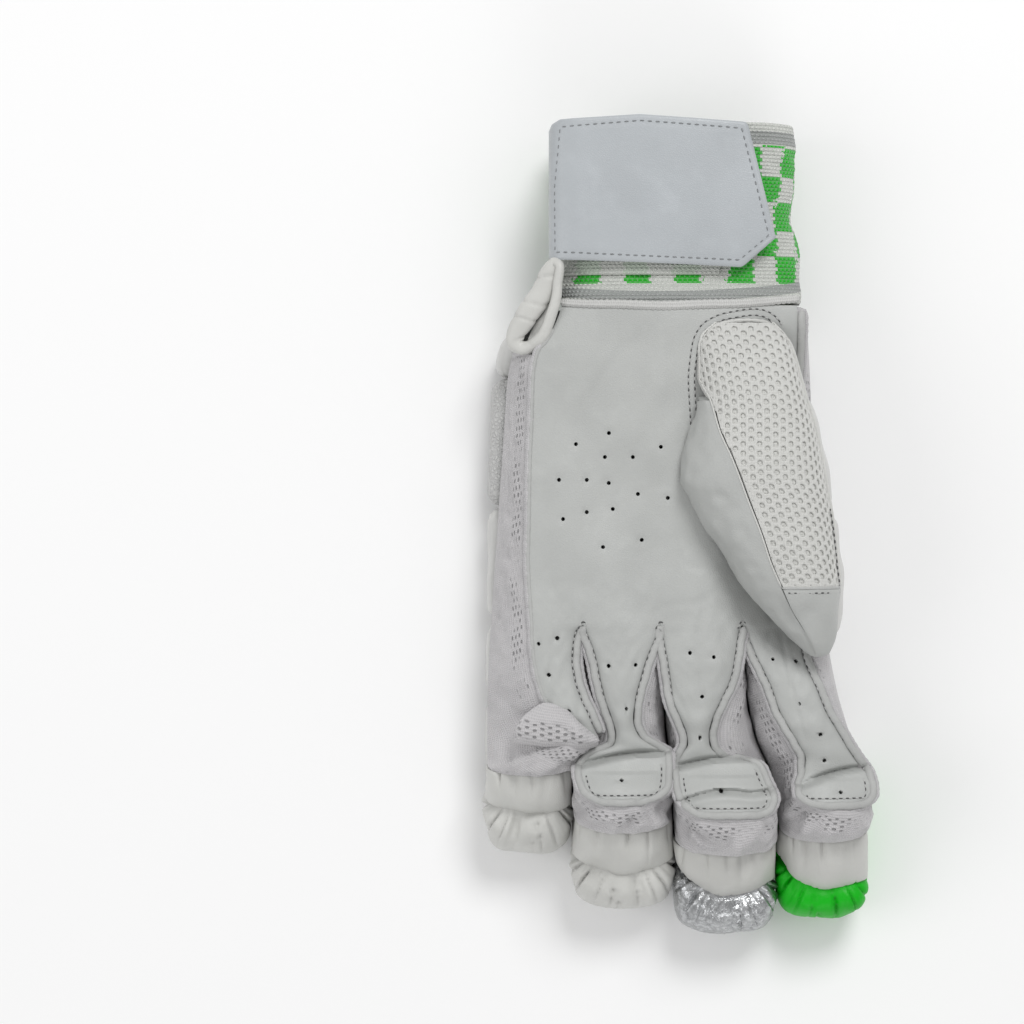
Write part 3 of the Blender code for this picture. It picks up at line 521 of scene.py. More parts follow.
def knit(name, rgb, shade, eyelets=True, rough=0.9, sheen=0.35):
    look = Look(name, rgb, rough, sheen=sheen, specular=0.25)
    wobble = (look.noise(5.0, 2.0, uv=True) - 0.5) * 0.5
    u = look.u + wobble
    v = look.v + wobble * 0.7
    row = (v * (2 * math.pi / 0.95)).sin() * 0.5 + 0.5
    loop = (u * (2 * math.pi / 0.8) + (v * (math.pi / 0.95)).sin() * 1.4).sin() * 0.5 + 0.5
    yarn = row * 0.55 + loop * 0.45
    fluff = look.noise(0.8, 3.0)
    height = yarn * 0.22 + fluff * 0.10
    # darker where the yarn relief is low: painted shade in the gaps between yarns; the large soft blotches of the same
    # colour are random tone
    tint = [(yarn.ramp(0.1, 0.8, 0.55, 0.0), shade), (look.noise(14.0, 3.0).ramp(0.4, 0.75, 0.0, 0.35), shade)]
    if eyelets:
        a = u / 2.7
        b = v / 1.9 + a.floor() * 0.5
        fa = (a.fract() - 0.5) * (2.7 / 0.75)
        fb = (b.fract() - 0.5) * (1.9 / 0.36)
        hole = (fa * fa + fb * fb).sqrt().ramp(0.70, 1.15, 1.0, 0.0)
        patch = look.noise(11.0, 1.0, uv=True).ramp(0.42, 0.52, 0.15, 1.0)
        rows = look.v.ramp(3.2, 4.0) * look.v.ramp(8.6, 9.6, 1.0, 0.0)
        hole = hole * patch * rows
        height = height - hole * 0.6
        # dark eyelets: painted shade inside the holes
        tint.append((hole * 0.7, tuple(c * 0.3 for c in shade)))
    return look.finish(tint=tint, bump=height)


M = {}
M["palm"] = leather("palm_leather_look", (0.455, 0.465, 0.452), 0.48, grain=0.045)
M["edge"] = leather("bound_edge_look", (0.44, 0.445, 0.435), 0.55, grain=0.06)
M["white"] = leather("white_leather_look", (0.585, 0.585, 0.56), 0.42, grain=0.03, coat=0.04)
M["back"] = leather("back_pad_look", (0.60, 0.60, 0.585), 0.36, grain=0.02, coat=0.12)
M["silver"] = leather("silver_leather_look", (0.54, 0.55, 0.56), 0.27, grain=0.02, metal=0.95, crinkle=0.12)
M["green"] = leather("green_leather_look", (0.0, 0.44, 0.004), 0.45, grain=0.03, coat=0.05, specular=0.3)
M["strap"] = leather("strap_leather_look", (0.43, 0.455, 0.475), 0.40, grain=0.03, coat=0.05)
M["knit"] = knit("gusset_knit_look", (0.56, 0.548, 0.555), (0.42, 0.41, 0.42))
M["seam_knit"] = knit("seam_knit_look", (0.53, 0.522, 0.528), (0.42, 0.41, 0.42), eyelets=False)
M["hem"] = knit("hem_knit_look", (0.60, 0.60, 0.585), (0.42, 0.42, 0.41), eyelets=False)
M["lining"] = leather("slit_lining_look", (0.54, 0.54, 0.52), 0.6, grain=0.05)


def pebble_look():
    look = Look("pebbled_pad_look", (0.56, 0.56, 0.55), 0.42)
    cell = look.cells(1.5)
    height = cell.ramp(0.0, 0.3, 0.0, 1.0) * 0.28 + look.noise(14.0, 3.0) * 0.2
    # darker along the cell edges, in the valleys between the pebbles: painted shade
    return look.finish(tint=[(cell.ramp(0.0, 0.2, 0.5, 0.0), (0.42, 0.42, 0.42))], bump=height)


def thread_look(name, rgb):
    look = Look(name, rgb, 0.6, sheen=0.2)
    twist = ((look.u * 9.0 + look.v * 6.0).sin() * 0.5 + 0.5)
    return look.finish(tint=[(twist * 0.5, tuple(c * 0.75 for c in rgb))], bump=twist * 0.08)


def cloth_look(name, rgb, pitch=1.0):
    look = Look(name, rgb, 0.92, sheen=0.3, specular=0.2)
    warp = (look.x * (2 * math.pi / pitch)).sin() * 0.5 + 0.5
    weft = (look.y * (2 * math.pi / pitch)).sin() * 0.5 + 0.5
    weave = warp * weft
    return look.finish(tint=[(weave * 0.5 + look.noise(12.0) * 0.3, tuple(c * 0.8 for c in rgb))], bump=weave * 0.15 + look.noise(1.2) * 0.1)


def cuff_look(name="cuff_knit_look", veil=1.0):
    """Elastic knit: green and white check between grey stripes, by the place on the band."""
    look = Look(name, (0.72, 0.73, 0.69), 0.9, sheen=0.25, specular=0.2)
    u, v = look.u, look.v
    course = 1.3
    wale = 1.7
    # stepped edges, as knitted colours have; the lower stripe bows with the seam
    across = u.least(46.0).most(-46.0)
    low = across * 0.0257 + across * across * 0.001457 + 79.9
    odd_row = ((v / course).floor() * 0.5).fract()
    su = (u / wale + odd_row).floor() * wale
    sv = (v / course).floor() * course
    inside = v.above(86.3) * v.below(136.0)
    jag = (look.noise(1.4, 1.0, uv=True) - 0.5) * 1.5
    shift = (v - 90.0) * 0.095
    cu = (su + 38.9 - shift + jag) / 8.8
    cv = (sv - 85.6 + jag * 0.5) / 9.7
    odd = ((cu.floor() + cv.floor()) * 0.5).fract().above(0.25)
    check = 1.0 - odd
    check = check * inside
    stripe = ((v - low).above(0.0) * (v - low).below(3.7)).most(v.above(136.4) * v.below(140.9))
    rib = (v * (2 * math.pi / course)).sin() * 0.5 + 0.5
    loop = (u * (2 * math.pi / wale) + (v / course).floor() * math.pi).sin() * 0.5 + 0.5
    fluff = look.noise(0.9, 3.0)
    knot = rib * loop + fluff * 0.25
    tint = [
        (check * veil, (0.012, 0.50, 0.012)),
        (stripe, (0.38, 0.39, 0.385)),
        # darker where the loop relief is low: painted shade between the knit loops
        (knot.ramp(0.06, 0.40, 0.52, 0.0), (0.24, 0.27, 0.24)),
        # lighter on the tops of the loops, kept off the green check: painted highlight
        (knot.ramp(0.6, 1.05, 0.0, 0.3) * (1.0 - check * veil), (0.74, 0.76, 0.73)),
    ]
    return look.finish(tint=tint, bump=knot * 0.6 + fluff * 0.1)


M["pebble"] = pebble_look()
M["thread"] = thread_look("white_thread_look", (0.60, 0.60, 0.59))
M["grey_thread"] = thread_look("grey_thread_look", (0.27, 0.28, 0.29))
# near-black colour for the strands between stitches: painted shade of the needle holes
M["needle"] = thread_look("needle_hole_shade_look", (0.09, 0.09, 0.09))
M["cloth"] = cloth_look("back_cloth_look", (0.45, 0.46, 0.455))
M["mesh"] = cloth_look("thumb_mesh_look", (0.68, 0.68, 0.655), pitch=0.5)
M["mesh_under"] = cloth_look("thumb_under_look", (0.68, 0.68, 0.655), pitch=0.8)
M["cuff"] = cuff_look()
M["tape"] = cuff_look("closing_tape_look", veil=0.16)


# ------------------------------------------------------------------ palm leather
def drop(x, y):
    return 12.0 * smooth((x - 6.0) / 36.0) * smooth((76.0 - y) / 30.0) * smooth((y + 56.0) / 30.0)


def cuts(y):
    """Edges of the four finger strips across the palm at each y."""
    y = np.asarray(y, float)
    left, right = palm_left(y), palm_right(y)
    t = smooth((78.4 - y) / 113.6)
    goal = [(c - CUTS_END[0]) / (CUTS_END[4] - CUTS_END[0]) for c in CUTS_END]
    return [left + (right - left) * ((1 - t) * k / 4 + t * g) for k, g in enumerate(goal)]


def soft_wrinkles(x, y):
    p = np.stack([x, y * 1.0, np.zeros_like(x)], axis=-1)
    z = 0.5 * fuzz(p, 42.0, 3) + 0.16 * fuzz(p * np.array([1.0, 0.6, 1.0]), 13.0, 4)
    near = smooth((-8 - y) / 26) * smooth((y + 82) / 20)
    z = z + 0.55 * near * creasing(p * np.array([1.5, 0.55, 1.0]), 40.0, 12)
    z = z + 0.30 * smooth((y - 30) / 20) * creasing(p * np.array([0.7, 0.9, 1.0]), 60.0, 15)
    z = z + 0.10 * near * fuzz(p, 4.5, 16)
    z = z + 0.35 * np.exp(-((x - 2) / 16.0) ** 2 - ((y + 22) / 22.0) ** 2) * creasing(p * np.array([0.9, 1.3, 1.0]), 26.0, 18)
    return z


def palm_height(x, y):
    x, y = np.asarray(x, float), np.asarray(y, float)
    left, right = palm_left(y), palm_right(y)
    v = (x - left) / (right - left)
    z = PALM_Z + 2.0 * (1 - (2 * v - 1) ** 4) - drop(x, y)
    z = z - 1.2 * np.exp(-((x + 16) / 26.0) ** 2 - ((y - 18) / 34.0) ** 2)
    return z


def leather_z(f, x, y, u):
    """Height of the leather on finger strip f, at place u across it."""
    name = FINGERS[f]
    z0 = palm_height(x, np.maximum(y, -35.2))
    zr = rim[name][2](y)
    crown = np.where(zr < 46, 2.0, 3.2)
    z1 = zr + crown * (1 - (2 * u - 1) ** 2) - drop(x, y)
    t = smooth((-24 - y) / 18.0)
    z = z0 * (1 - t) + z1 * t
    fold = CREASES[name]
    if fold:
        t = (x - fold[0]) / (fold[2] - fold[0])
        yc = fold[1] + (fold[3] - fold[1]) * t + 1.2 * np.sin(math.pi * np.clip(t, 0, 1))
        d = y - yc
        step = smooth((0.9 - d) / 1.0)
        z = z - 3.4 * np.exp(-np.maximum(d - 0.9, 0) / 4.0) * (1 - step) + step * 2.1 * np.exp(-np.maximum(-d, 0) / 7.0)
        z = z - 2.6 * np.exp(-((d - 1.5) / 0.75) ** 2) * np.sin(math.pi * np.clip(t, 0.0, 1.0)) ** 0.3
        if name == "middle":
            e = y - (fold[1] + (fold[3] - fold[1]) * t - 10.6 + 2.4 * np.sin(math.pi * np.clip(t, 0, 1)))
            z = z - 2.4 * np.exp(-(e / 0.8) ** 2) + 1.0 * np.exp(-((e + 2.2) / 1.3) ** 2)
    width = strip_x(f, y, 1.0) - strip_x(f, y, 0.0)
    for side in (0, 1):
        if (f, side) in ((0, 0),):
            continue
        inset = np.where(y < (fold[1] - 1 if fold else -999), 2.5, 0.2)
        d = (u if side == 0 else 1 - u) * width - inset
        z = z - 0.45 * smooth((-34 - y) / 4.0) * np.exp(-(d / 0.9) ** 2)
    side = (2 * u - 1) ** 2
    bend = smooth((-44 - y) / 14)
    z = z + bend * (1 - side) * (0.5 * np.sin(y * 0.55 + f) * np.exp(-((y + 70) / 9.0) ** 2))
    return z + soft_wrinkles(x, y)


def strip_x(f, y, u):
    y = np.asarray(y, float)
    c = cuts(np.maximum(y, -35.2))
    name = FINGERS[f]
    left = np.where(y > -35.2, c[f], rim[name][0](y))
    right = np.where(y > -35.2, c[f + 1], rim[name][1](y))
    return left + (right - left) * u


def leather_at(f, y, u):
    y = np.asarray(y, float)
    u = np.broadcast_to(np.asarray(u, float), y.shape)
    x = strip_x(f, y, u)
    return np.stack([x, y, leather_z(f, x, y, u)], axis=-1)


def palm_leather():
    C = 24
    u = np.linspace(0, 1, C + 1)
    ys = np.linspace(78.4, -35.2, 100)
    rows = []
    for f in range(4):
        block = leather_at(f, np.repeat(ys[:, None], C + 1, 1), np.repeat(u[None, :], len(ys), 0))
        rows.append(block if f == 0 else block[:, 1:])
    palm = np.concatenate(rows, axis=1)
    points = [palm.reshape(-1, 3)]
    grids = [(np.arange(palm.shape[0] * palm.shape[1]).reshape(palm.shape[:2]), PALM_HOLES)]
    count = len(points[0])
    base = grids[0][0]
    for f, name in enumerate(FINGERS):
        end = RIMS[name][-1][0]
        turn = -72.0
        fy = np.r_[np.linspace(-35.2, turn, 37)[1:], np.linspace(turn, end, max(2, int((turn - end) / 0.55)))[1:]]
        block = leather_at(f, np.repeat(fy[:, None], C + 1, 1), np.repeat(u[None, :], len(fy), 0))
        index = np.arange(count, count + block.shape[0] * block.shape[1]).reshape(block.shape[:2])
        count += index.size
        points.append(block.reshape(-1, 3))
        grids.append((np.concatenate([base[-1:, f * C:(f + 1) * C + 1], index]), FINGER_HOLES[name]))
    points = np.concatenate(points)
    cells = []
    for index, holes in grids:
        keep = np.ones((index.shape[0] - 1, index.shape[1] - 1), bool)
        if index is base:
            mid = (points[index[:-1, :-1]] + points[index[1:, 1:]]) / 2
            keep &= ((mid[..., 0] - 21.5) / 12.5) ** 2 + ((mid[..., 1] - 57.5) / 11.0) ** 2 > 1
        for hx, hy in holes:
            d = (points[index][..., 0] - hx) ** 2 + (points[index][..., 1] - hy) ** 2
            i, j = np.unravel_index(np.argmin(d), d.shape)
            i, j = min(max(i, 1), index.shape[0] - 2), min(max(j, 1), index.shape[1] - 2)
            keep[i - 1:i + 1, j - 1:j + 1] = False
            z = points[index[i, j], 2]
            for di in (-1, 0, 1):
                for dj in (-1, 0, 1):
                    if di or dj:
                        q = index[i + di, j + dj]
                        a = math.atan2(points[q, 1] - points[index[i, j], 1], points[q, 0] - points[index[i, j], 0])
                        points[q] = (hx + 0.72 * math.cos(a), hy + 0.72 * math.sin(a), z - 0.15)
        quads = np.stack([index[:-1, :-1], index[1:, :-1], index[1:, 1:], index[:-1, 1:]], axis=-1)
        cells.append(quads[keep])
    cells = np.concatenate(cells)
    used = np.unique(cells)
    renum = np.zeros(len(points), int)
    renum[used] = np.arange(len(used))
    points, cells = points[used], renum[cells]
    made = shell("palm_leather_skin", points, cells, 1.15, M["palm"], "palm_leather", rounded=0.25)
    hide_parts("palm_leather")


palm_leather()

STITCH, GREY_STITCH, BOUND, SEAM = Parts(), Parts(), Parts(), Parts()


def rim_path(f, side, y0, y1, inset=0.0, step=0.8, lift=0.0):
    """Path along one edge of a finger's leather; inset moves it in from the edge."""
    y = np.linspace(y0, y1, max(3, int(abs(y1 - y0) / step)))
    width = strip_x(f, y, 1.0) - strip_x(f, y, 0.0)
    u = inset / width if side == 0 else 1 - inset / width
    p = leather_at(f, y, np.clip(u, 0, 1))
    p[:, 2] += lift
    return p


def off_edge(f, side, y, out=0.0, lift=0.0):
    """Points along one edge of finger f's leather, moved out past the edge by the given amount."""
    y = np.asarray(y, float)
    sign = -1.0 if side == 0 else 1.0
    x = strip_x(f, y, float(side))
    u = np.full_like(y, float(side))
    z = leather_z(f, x, y, u)
    return np.stack([x + sign * out, y, z + lift], axis=-1)


def edge_out(f, y):
    """How far the rolled edge lies past the sewn line: wide in the slits, on the edge at the tip panels."""
    fold = CREASES[FINGERS[f]]
    if not fold:
        return np.full_like(np.asarray(y, float), 1.35)
    return 1.35 * smooth((np.asarray(y, float) - (fold[1] + 2.0)) / 6.0)


def slit_edges():
    """Rolled edges round the slits and the tip panels, with their stitching."""
    def leg(f, side, y0, y1, extra=0.0, lift=-0.1, sag=0.0):
        y = np.linspace(y0, y1, max(4, int(abs(y1 - y0) / 0.25)))
        return off_edge(f, side, y, edge_out(f, y) + extra, lift)

    def outline(extra, lift, apex_y):
        path = []
        for f, name in enumerate(FINGERS):
            end = RIMS[name][-1][0]
            if f > 0:
                path.append(leg(f, 0, -37.5, end + 1.0, extra, lift))
                u = np.linspace(0.10, 0.90, 16)
                path.append(leather_at(f, np.full(16, end), u) + np.array([0, 0.1 - extra, lift - 0.1]))
            if f < 3:
                stop = -73.5 if f == 0 else end + 1.0
                path.append(leg(f, 1, stop, -37.5, extra, lift))
                x = float(strip_x(f, -35.2, 1.0))
                z = float(leather_z(f, np.array(x), np.array(-34.5), np.array(1.0)))
                path.append(np.array([[x, apex_y, z + lift + 0.1]]))
            else:
                path.append(leg(f, 1, end + 1.0, 76.5, extra, lift))
        path, _ = resample(np.concatenate(path), 0.5)
        path, _ = resample(soften(path, 6), 0.8)
        return path

    main = outline(0.0, -0.1, -35.4)
    BOUND.add(*tube(main, 1.35, 0.95, sides=12, wrinkle=lambda s, a: 0.10 * np.sin(s * 0.9) * np.cos(a) + 0.06 * np.sin(s * 2.3 + 1)))
    under = outline(1.5, -1.5, -37.4)
    SEAM.add(*tube(under, 1.05, 1.0, sides=10, wrinkle=lambda s, a: 0.10 * np.sin(s * 2.6) + 0 * a))
    # sewing
    stitch_line(STITCH, leg(0, 1, -70.0, -35.6, extra=-1.5, lift=0.05), pitch=2.3, length=1.35)
    for f, name in enumerate(FINGERS):
        fold = CREASES[name]
        if f < 3:
            x = float(strip_x(f, -35.2, 1.0))
            arc = np.array([[x - 1.6, -36.4, 0], [x - 0.9, -34.4, 0], [x + 0.1, -33.7, 0], [x + 1.1, -34.4, 0], [x + 1.8, -36.4, 0]])
            arc, _ = resample(soften(resample(arc, 0.4)[0], 4), 0.4)
            arc[:, 2] = [float(leather_z(f, a[0], np.array(max(a[1], -35.1)), np.array(1.0))) for a in arc]
            stitch_line(STITCH, arc + np.array([0, 0, 0.05]), pitch=2.1, length=1.3)
        if f > 0:
            stitch_line(STITCH, leg(f, 0, -37.5, -62.0, extra=-1.25, lift=0.02), pitch=2.4, length=1.4)
            stitch_line(STITCH, leg(f, 1, -62.0 if f < 3 else -84.0, -37.5, extra=-1.25, lift=0.02), pitch=2.4, length=1.4)
        if not fold:
            continue
        end = RIMS[name][-1][0]
        hem = []
        for y in np.linspace(fold[1] - 2.4, end + 2.6, 14):
            w = float(strip_x(f, y, 1.0) - strip_x(f, y, 0.0))
            hem.append(leather_at(f, np.array([y]), 2.7 / w)[0])
        hem += list(leather_at(f, np.full(14, end + 2.5), np.linspace(0.16, 0.84, 14)))
        for y in np.linspace(end + 2.6, fold[3] - 2.0, 14):
            w = float(strip_x(f, y, 1.0) - strip_x(f, y, 0.0))
            hem.append(leather_at(f, np.array([y]), 1 - 2.7 / w)[0])
        hem, _ = resample(soften(resample(np.array(hem), 0.5)[0], 5), 0.4)
        stitch_line(STITCH, hem + np.array([0, 0, -0.02]), pitch=2.35, length=1.35)
    # outer seams: knit turned over the edge of the leather, two ridges on the little finger's side
    outer = rim_path(0, 0, 66.0, -74.0, inset=-1.7, lift=-0.7)
    SEAM.add(*tube(outer, 1.35, 1.05, sides=12, wrinkle=lambda s, a: 0.10 * np.sin(s * 2.4) + 0.1 * np.sin(s * 0.7)))
    ridge = rim_path(0, 0, 70.0, -72.0, inset=0.35, lift=-0.1)
    BOUND.add(*tube(ridge, 0.75, 0.6, sides=10, wrinkle=lambda s, a: 0.05 * np.sin(s * 1.4) + 0 * a))
    outer = rim_path(3, 1, 77.5, CREASES["index"][3] + 1.0, inset=-3.1, lift=-1.6)
    SEAM.add(*tube(outer, 1.2, 1.0, wrinkle=lambda s, a: 0.12 * np.sin(s * 2.4) + 0 * a))


slit_edges()


# ------------------------------------------------------------------ knitted gussets, bands and rolls of the fingers
def edge(y, k):
    return edges[k](y)


VENT_Y = np.array([60.5, 63.2, 66.2, 70.4, 75.0, 79.6, 84.5])
VENT_X = np.array([-55.0, -58.6, -59.6, -58.7, -56.1, -53.2, -50.4])
VENT_Z = np.array([39.0, 37.6, 37.4, 38.2, 39.5, 40.7, 41.4])


def gusset(f):
    name = FINGERS[f]
    knit_side, knit_tip, _, _, _, tip_z, _ = TIPS[name]
    last = RIMS[name][-1]
    out = 0.35
    first = -35.2
    starts = {0: 84.5 if f == 0 else first - 0.6, 1: 78.0 if f == 3 else first - 0.6}

    def top_at(y, side):
        x = strip_x(f, y, float(side))
        z = leather_z(f, x, y, np.full_like(x, float(side))) - 1.1
        x = x - out if side == 0 else x + out
        if (f, side) == (0, 0):
            t = smooth((y - 59.5) / 3.0)
            x = x * (1 - t) + np.interp(y, VENT_Y, VENT_X) * t
            z = z * (1 - t) + np.interp(y, VENT_Y, VENT_Z) * t
        return x, z

    def foot_at(y, side):
        if (f, side) == (0, 0):
            x = edge(y, 0) + 5.4 - 4.6 * smooth((50 - y) / 120.0)
            return x + smooth((y - 70) / 16.0) * 10.5
        if (f, side) == (3, 1):
            return edge(y, 4) - 0.4
        return edge(y, f + side) + 0.35 * (1 if side == 0 else -1)

    tip_steps = 34
    top, bottom, weight = [], [], []
    for side in (0, 1):
        count = int((starts[side] - last[0]) / 1.25)
        t = np.linspace(0, 1, count)
        y0 = starts[side] + (last[0] - starts[side]) * t
        y1 = starts[side] + (knit_side - starts[side]) * t
        x, z = top_at(y0, side)
        a = np.stack([x, y0, z], axis=1)
        foot = 24.6 + (SIDE_Z[0] - 24.6) * smooth((t - 0.7) / 0.3)
        b = np.stack([foot_at(y1, side), y1, foot], axis=1)
        w = smooth((t * count - count + 9) / 9.0)
        if side == 0:
            top, bottom, weight, which = [a], [b], [w], [np.zeros(len(a))]
        else:
            u = np.linspace(0, 1, tip_steps + 1)[1:-1]
            end = leather_at(f, np.full(len(u), last[0]), u)
            end[:, 1] -= out
            end[:, 2] -= 1.1
            top += [end, a[::-1]]
            ang = math.pi * u
            l, r = foot_at(knit_side, 0), foot_at(knit_side, 1)
            s = np.sin(ang) ** 0.7
            bottom += [np.stack([(l + r) / 2 - (r - l) / 2 * np.cos(ang), knit_side + (knit_tip - knit_side) * s, SIDE_Z[0] + (tip_z - SIDE_Z[0]) * s], axis=1), b[::-1]]
            weight += [np.ones(len(u)), w[::-1]]
            which += [np.ones(len(u)), np.full(len(a), 2.0)]
    top, bottom, weight, which = (np.concatenate(v) for v in (top, bottom, weight, which))
    # spread the corner points evenly
    for _ in range(3):
        bottom[1:-1] = (bottom[:-2] + 2 * bottom[1:-1] + bottom[2:]) / 4
    t = np.linspace(0, 1, 17)[:, None, None]
    away = bottom[None] - top[None]
    flat = away[..., :2]
    spread = np.linalg.norm(flat, axis=-1, keepdims=True)
    inner_walls = (1.0 - weight)[None, :, None]
    side_bulge = np.minimum(2.2, 0.16 * spread)
    tip_bulge = np.minimum(4.2, 0.34 * np.linalg.norm(away, axis=-1, keepdims=True))
    lift = (side_bulge * inner_walls + tip_bulge * weight[None, :, None]) * (4 * t * (1 - t)) ** 0.8
    points = top[None] * (1 - t) + bottom[None] * t
    direction = flat / np.maximum(spread, 1e-6)
    # in the slits the knit swells out until both sides touch, close under the leather near the slit's start
    full = np.zeros(top.shape[0])
    for side, in_slit in ((0, f > 0), (1, f < 3)):
        if not in_slit:
            continue
        legs = inner_walls[0, :, 0] * (which == 2 * side)
        near = 0.35 + 0.65 * smooth((top[:, 1] + 66.0) / 26.0)
        full = np.maximum(full, legs * near)
    swell = (1 - (1 - np.clip(t / 0.55, 0, 1)) ** 2.4) * full[None, :, None]
    straight = points[..., :2].copy()
    goal = bottom[None, :, :2] * 1.0
    points[..., 0:1] = straight[..., 0:1] * (1 - swell) + goal[..., 0:1] * swell
    points[..., :2] += direction * 0.55 * lift
    points[..., 2:] += 0.8 * lift
    along = np.r_[0, np.cumsum(np.linalg.norm(np.diff((top + bottom) / 2, axis=0), axis=1))]
    across = np.linalg.norm(away, axis=-1).mean()
    length = np.linalg.norm(away[0], axis=-1)
    uv = np.stack([np.repeat(along[None], 17, 0), t[..., 0] * length[None]], axis=-1).reshape(-1, 2)
    rows, cols = 17, points.shape[1]
    p = points.reshape(-1, 3)
    cells = grid_cells(rows, cols)[:, ::-1]
    tt = np.repeat(t[:, 0, 0], cols)
    mask = np.sin(math.pi * np.clip(tt, 0, 1)) ** 0.6
    ww = np.tile(weight, rows)
    bump = (0.30 + 0.5 * ww) * fuzz(p, 11.0, 20 + f) * mask + 0.22 * fuzz(p, 5.0, 30 + f) * mask
    bump += 0.9 * ww * mask * creasing(p * np.array([1.0, 0.5, 0.6]), 17.0, 40 + f)
    if f == 0:
        bump += 0.5 * (1 - ww) * mask * creasing(p * np.array([0.3, 0.22, 0.3]), 15.0, 47)
    made = shell(f"{name}_gusset_knit", p, cells, 1.1, M["knit"], "knit", uv=uv, raise_by=bump)
    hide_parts(name + "_gusset")
    return made


for f in range(4):
    gusset(f)


def knit_fold():
    """Fold of knit that covers the end of the little finger's leather."""
    ridge = [(-60.2, -74.6), (-59.3, -71.7), (-55.0, -66.0), (-48.6, -62.6), (-41.5, -65.0), (-36.6, -69.8), (-30.6, -75.0), (-29.6, -76.2)]
    crease = [(-60.2, -76.4), (-58.0, -77.2), (-52.2, -78.0), (-47.9, -78.8), (-38.0, -79.8), (-31.2, -78.6), (-29.6, -77.2)]
    n, m = 64, 30
    xs = -29.8 - 30.2 * (0.5 + 0.5 * np.cos(np.linspace(0, math.pi, n)))
    up = spline([p[0] for p in ridge], [p[1] for p in ridge])(xs)
    low = spline([p[0] for p in crease], [p[1] for p in crease])(xs)
    t = np.linspace(0, 1, m)
    X = np.repeat(xs[:, None], m, 1)
    Y = low[:, None] * (1 - t)[None] + up[:, None] * t[None]
    left = rim["little"][0](np.maximum(Y, -75.9))
    base_up = 45.2 + 1.4 * np.clip((X - left) / 8.0, -1, 1)
    base = 43.6 + (base_up - 43.6) * t[None]
    span = (up - low)[:, None]
    high = np.minimum(6.2, 0.55 * span)
    Z = base + high * np.sin(math.pi * np.clip(t, 0, 1))[None] ** 0.62 * (0.9 + 0.1 * t[None])
    X = X + 0.25 * (t[None] - 0.5)
    p = np.stack([X, Y, Z], axis=-1).reshape(-1, 3)
    cells = outward(p, grid_cells(n, m), (0, 0, 1))
    tt = np.tile(t, n)
    inside = np.sin(math.pi * tt) ** 0.7
    bump = inside * (0.6 * fuzz(p, 11.0, 141) + 0.7 * creasing(p * np.array([0.6, 1.1, 1.0]), 17.0, 142) + 0.12 * fuzz(p, 4.5, 143))
    uv = np.stack([p[:, 0], 11.5 - (p[:, 1] - np.repeat(low, m)) * 0.9], axis=1)
    shell("little_knit_fold", p, cells, 1.1, M["knit"], "knit", uv=uv, raise_by=bump)


knit_fold()


def tip_curve(left, right, side_y, tip_y, side_z, tip_z, n, bend=0.7):
    """Row over a fingertip. side_y is one height or a (left, right) pair."""
    a = np.linspace(0, math.pi, n)
    s = np.sin(a) ** 0.7
    w = (1 - np.cos(a)) / 2
    y0, y1 = side_y if isinstance(side_y, tuple) else (side_y, side_y)
    side = y0 + (y1 - y0) * w
    return np.stack([left + (right - left) * w, side + (tip_y - side) * np.sin(a) ** bend, side_z + (tip_z - side_z) * s], axis=1)


def pleats(phase, seed, sharp=1.6):
    """Gathers: round lobes between sharp valleys, unevenly spaced. 0 on a lobe, -1 in a valley."""
    p = phase + 0.24 * np.sin(phase * 2.1 + seed) + 0.15 * np.sin(phase * 5.3 + 2 * seed)
    size = 0.72 + 0.28 * np.sin(phase * 1.7 + seed * 1.9)
    return -(1 - np.abs(np.sin(math.pi * p))) ** sharp * size


def tip_band(f):
    name = FINGERS[f]
    knit_side, knit_tip, band_side, band_tip, _, knit_z, band_z = TIPS[name]
    n = 150

    def ends(y):
        return float(edge(y, f)) + 0.3, float(edge(y, f + 1)) - 0.3

    a = tip_curve(*ends(knit_side), knit_side - 0.6, knit_tip + 0.4, SIDE_Z[0] - 0.3, knit_z - 0.9, n)
    b = tip_curve(*ends(band_side), BAND_SIDES[name], band_tip + 0.4, SIDE_Z[1] - 0.2, band_z - 0.2, n, bend=BAND_BEND[name])
    rows = 30
    t = np.linspace(0, 1, rows)[:, None, None]
    s = np.sin(np.linspace(0, math.pi, n))[None, :, None]
    points = a[None] * (1 - t) + b[None] * t
    lift = (2.2 * (4 * t * (1 - t)) ** 0.75) * s ** 0.5
    points += lift * np.array([0, -0.6, 0.8])
    p = points.reshape(-1, 3)
    tt = np.repeat(t[:, 0, 0], n)
    d = np.r_[0, np.cumsum(np.linalg.norm(np.diff((a + b) / 2, axis=0), axis=1))]
    phase = np.tile(d, rows)
    ends_fade = np.tile(np.sin(np.linspace(0, math.pi, n)) ** 0.3, rows)
    reach = 0.34 + 0.16 * np.sin(phase * 0.55 + 2 * f)
    top = 1.9 * pleats(phase / 8.5, 3 + 2 * f, 1.7) * np.exp(-(tt / reach) ** 2)
    low = 0.7 * pleats(phase / 4.6, 7 + f, 1.8) * np.exp(-(1 - tt) / 0.06)
    bump = (top + low) * ends_fade + 0.4 * fuzz(p * np.array([1, 0.8, 0.8]), 17.0, 50 + f)
    uv = np.stack([np.tile(d, rows), tt * 15], axis=1)
    cells = outward(p, grid_cells(rows, n), (0, -0.6, 0.8))
    made = shell(f"{name}_tip_band_skin", p, cells, 0.9, M["white"], "smooth_band", uv=uv, raise_by=bump, rounded=0.2)
    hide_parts(name + "_tip_band")


def ring_section(n):
    """Angles round a unit rounded square, evenly spaced."""
    a = np.linspace(0, 2 * math.pi, n, endpoint=False)
    return a


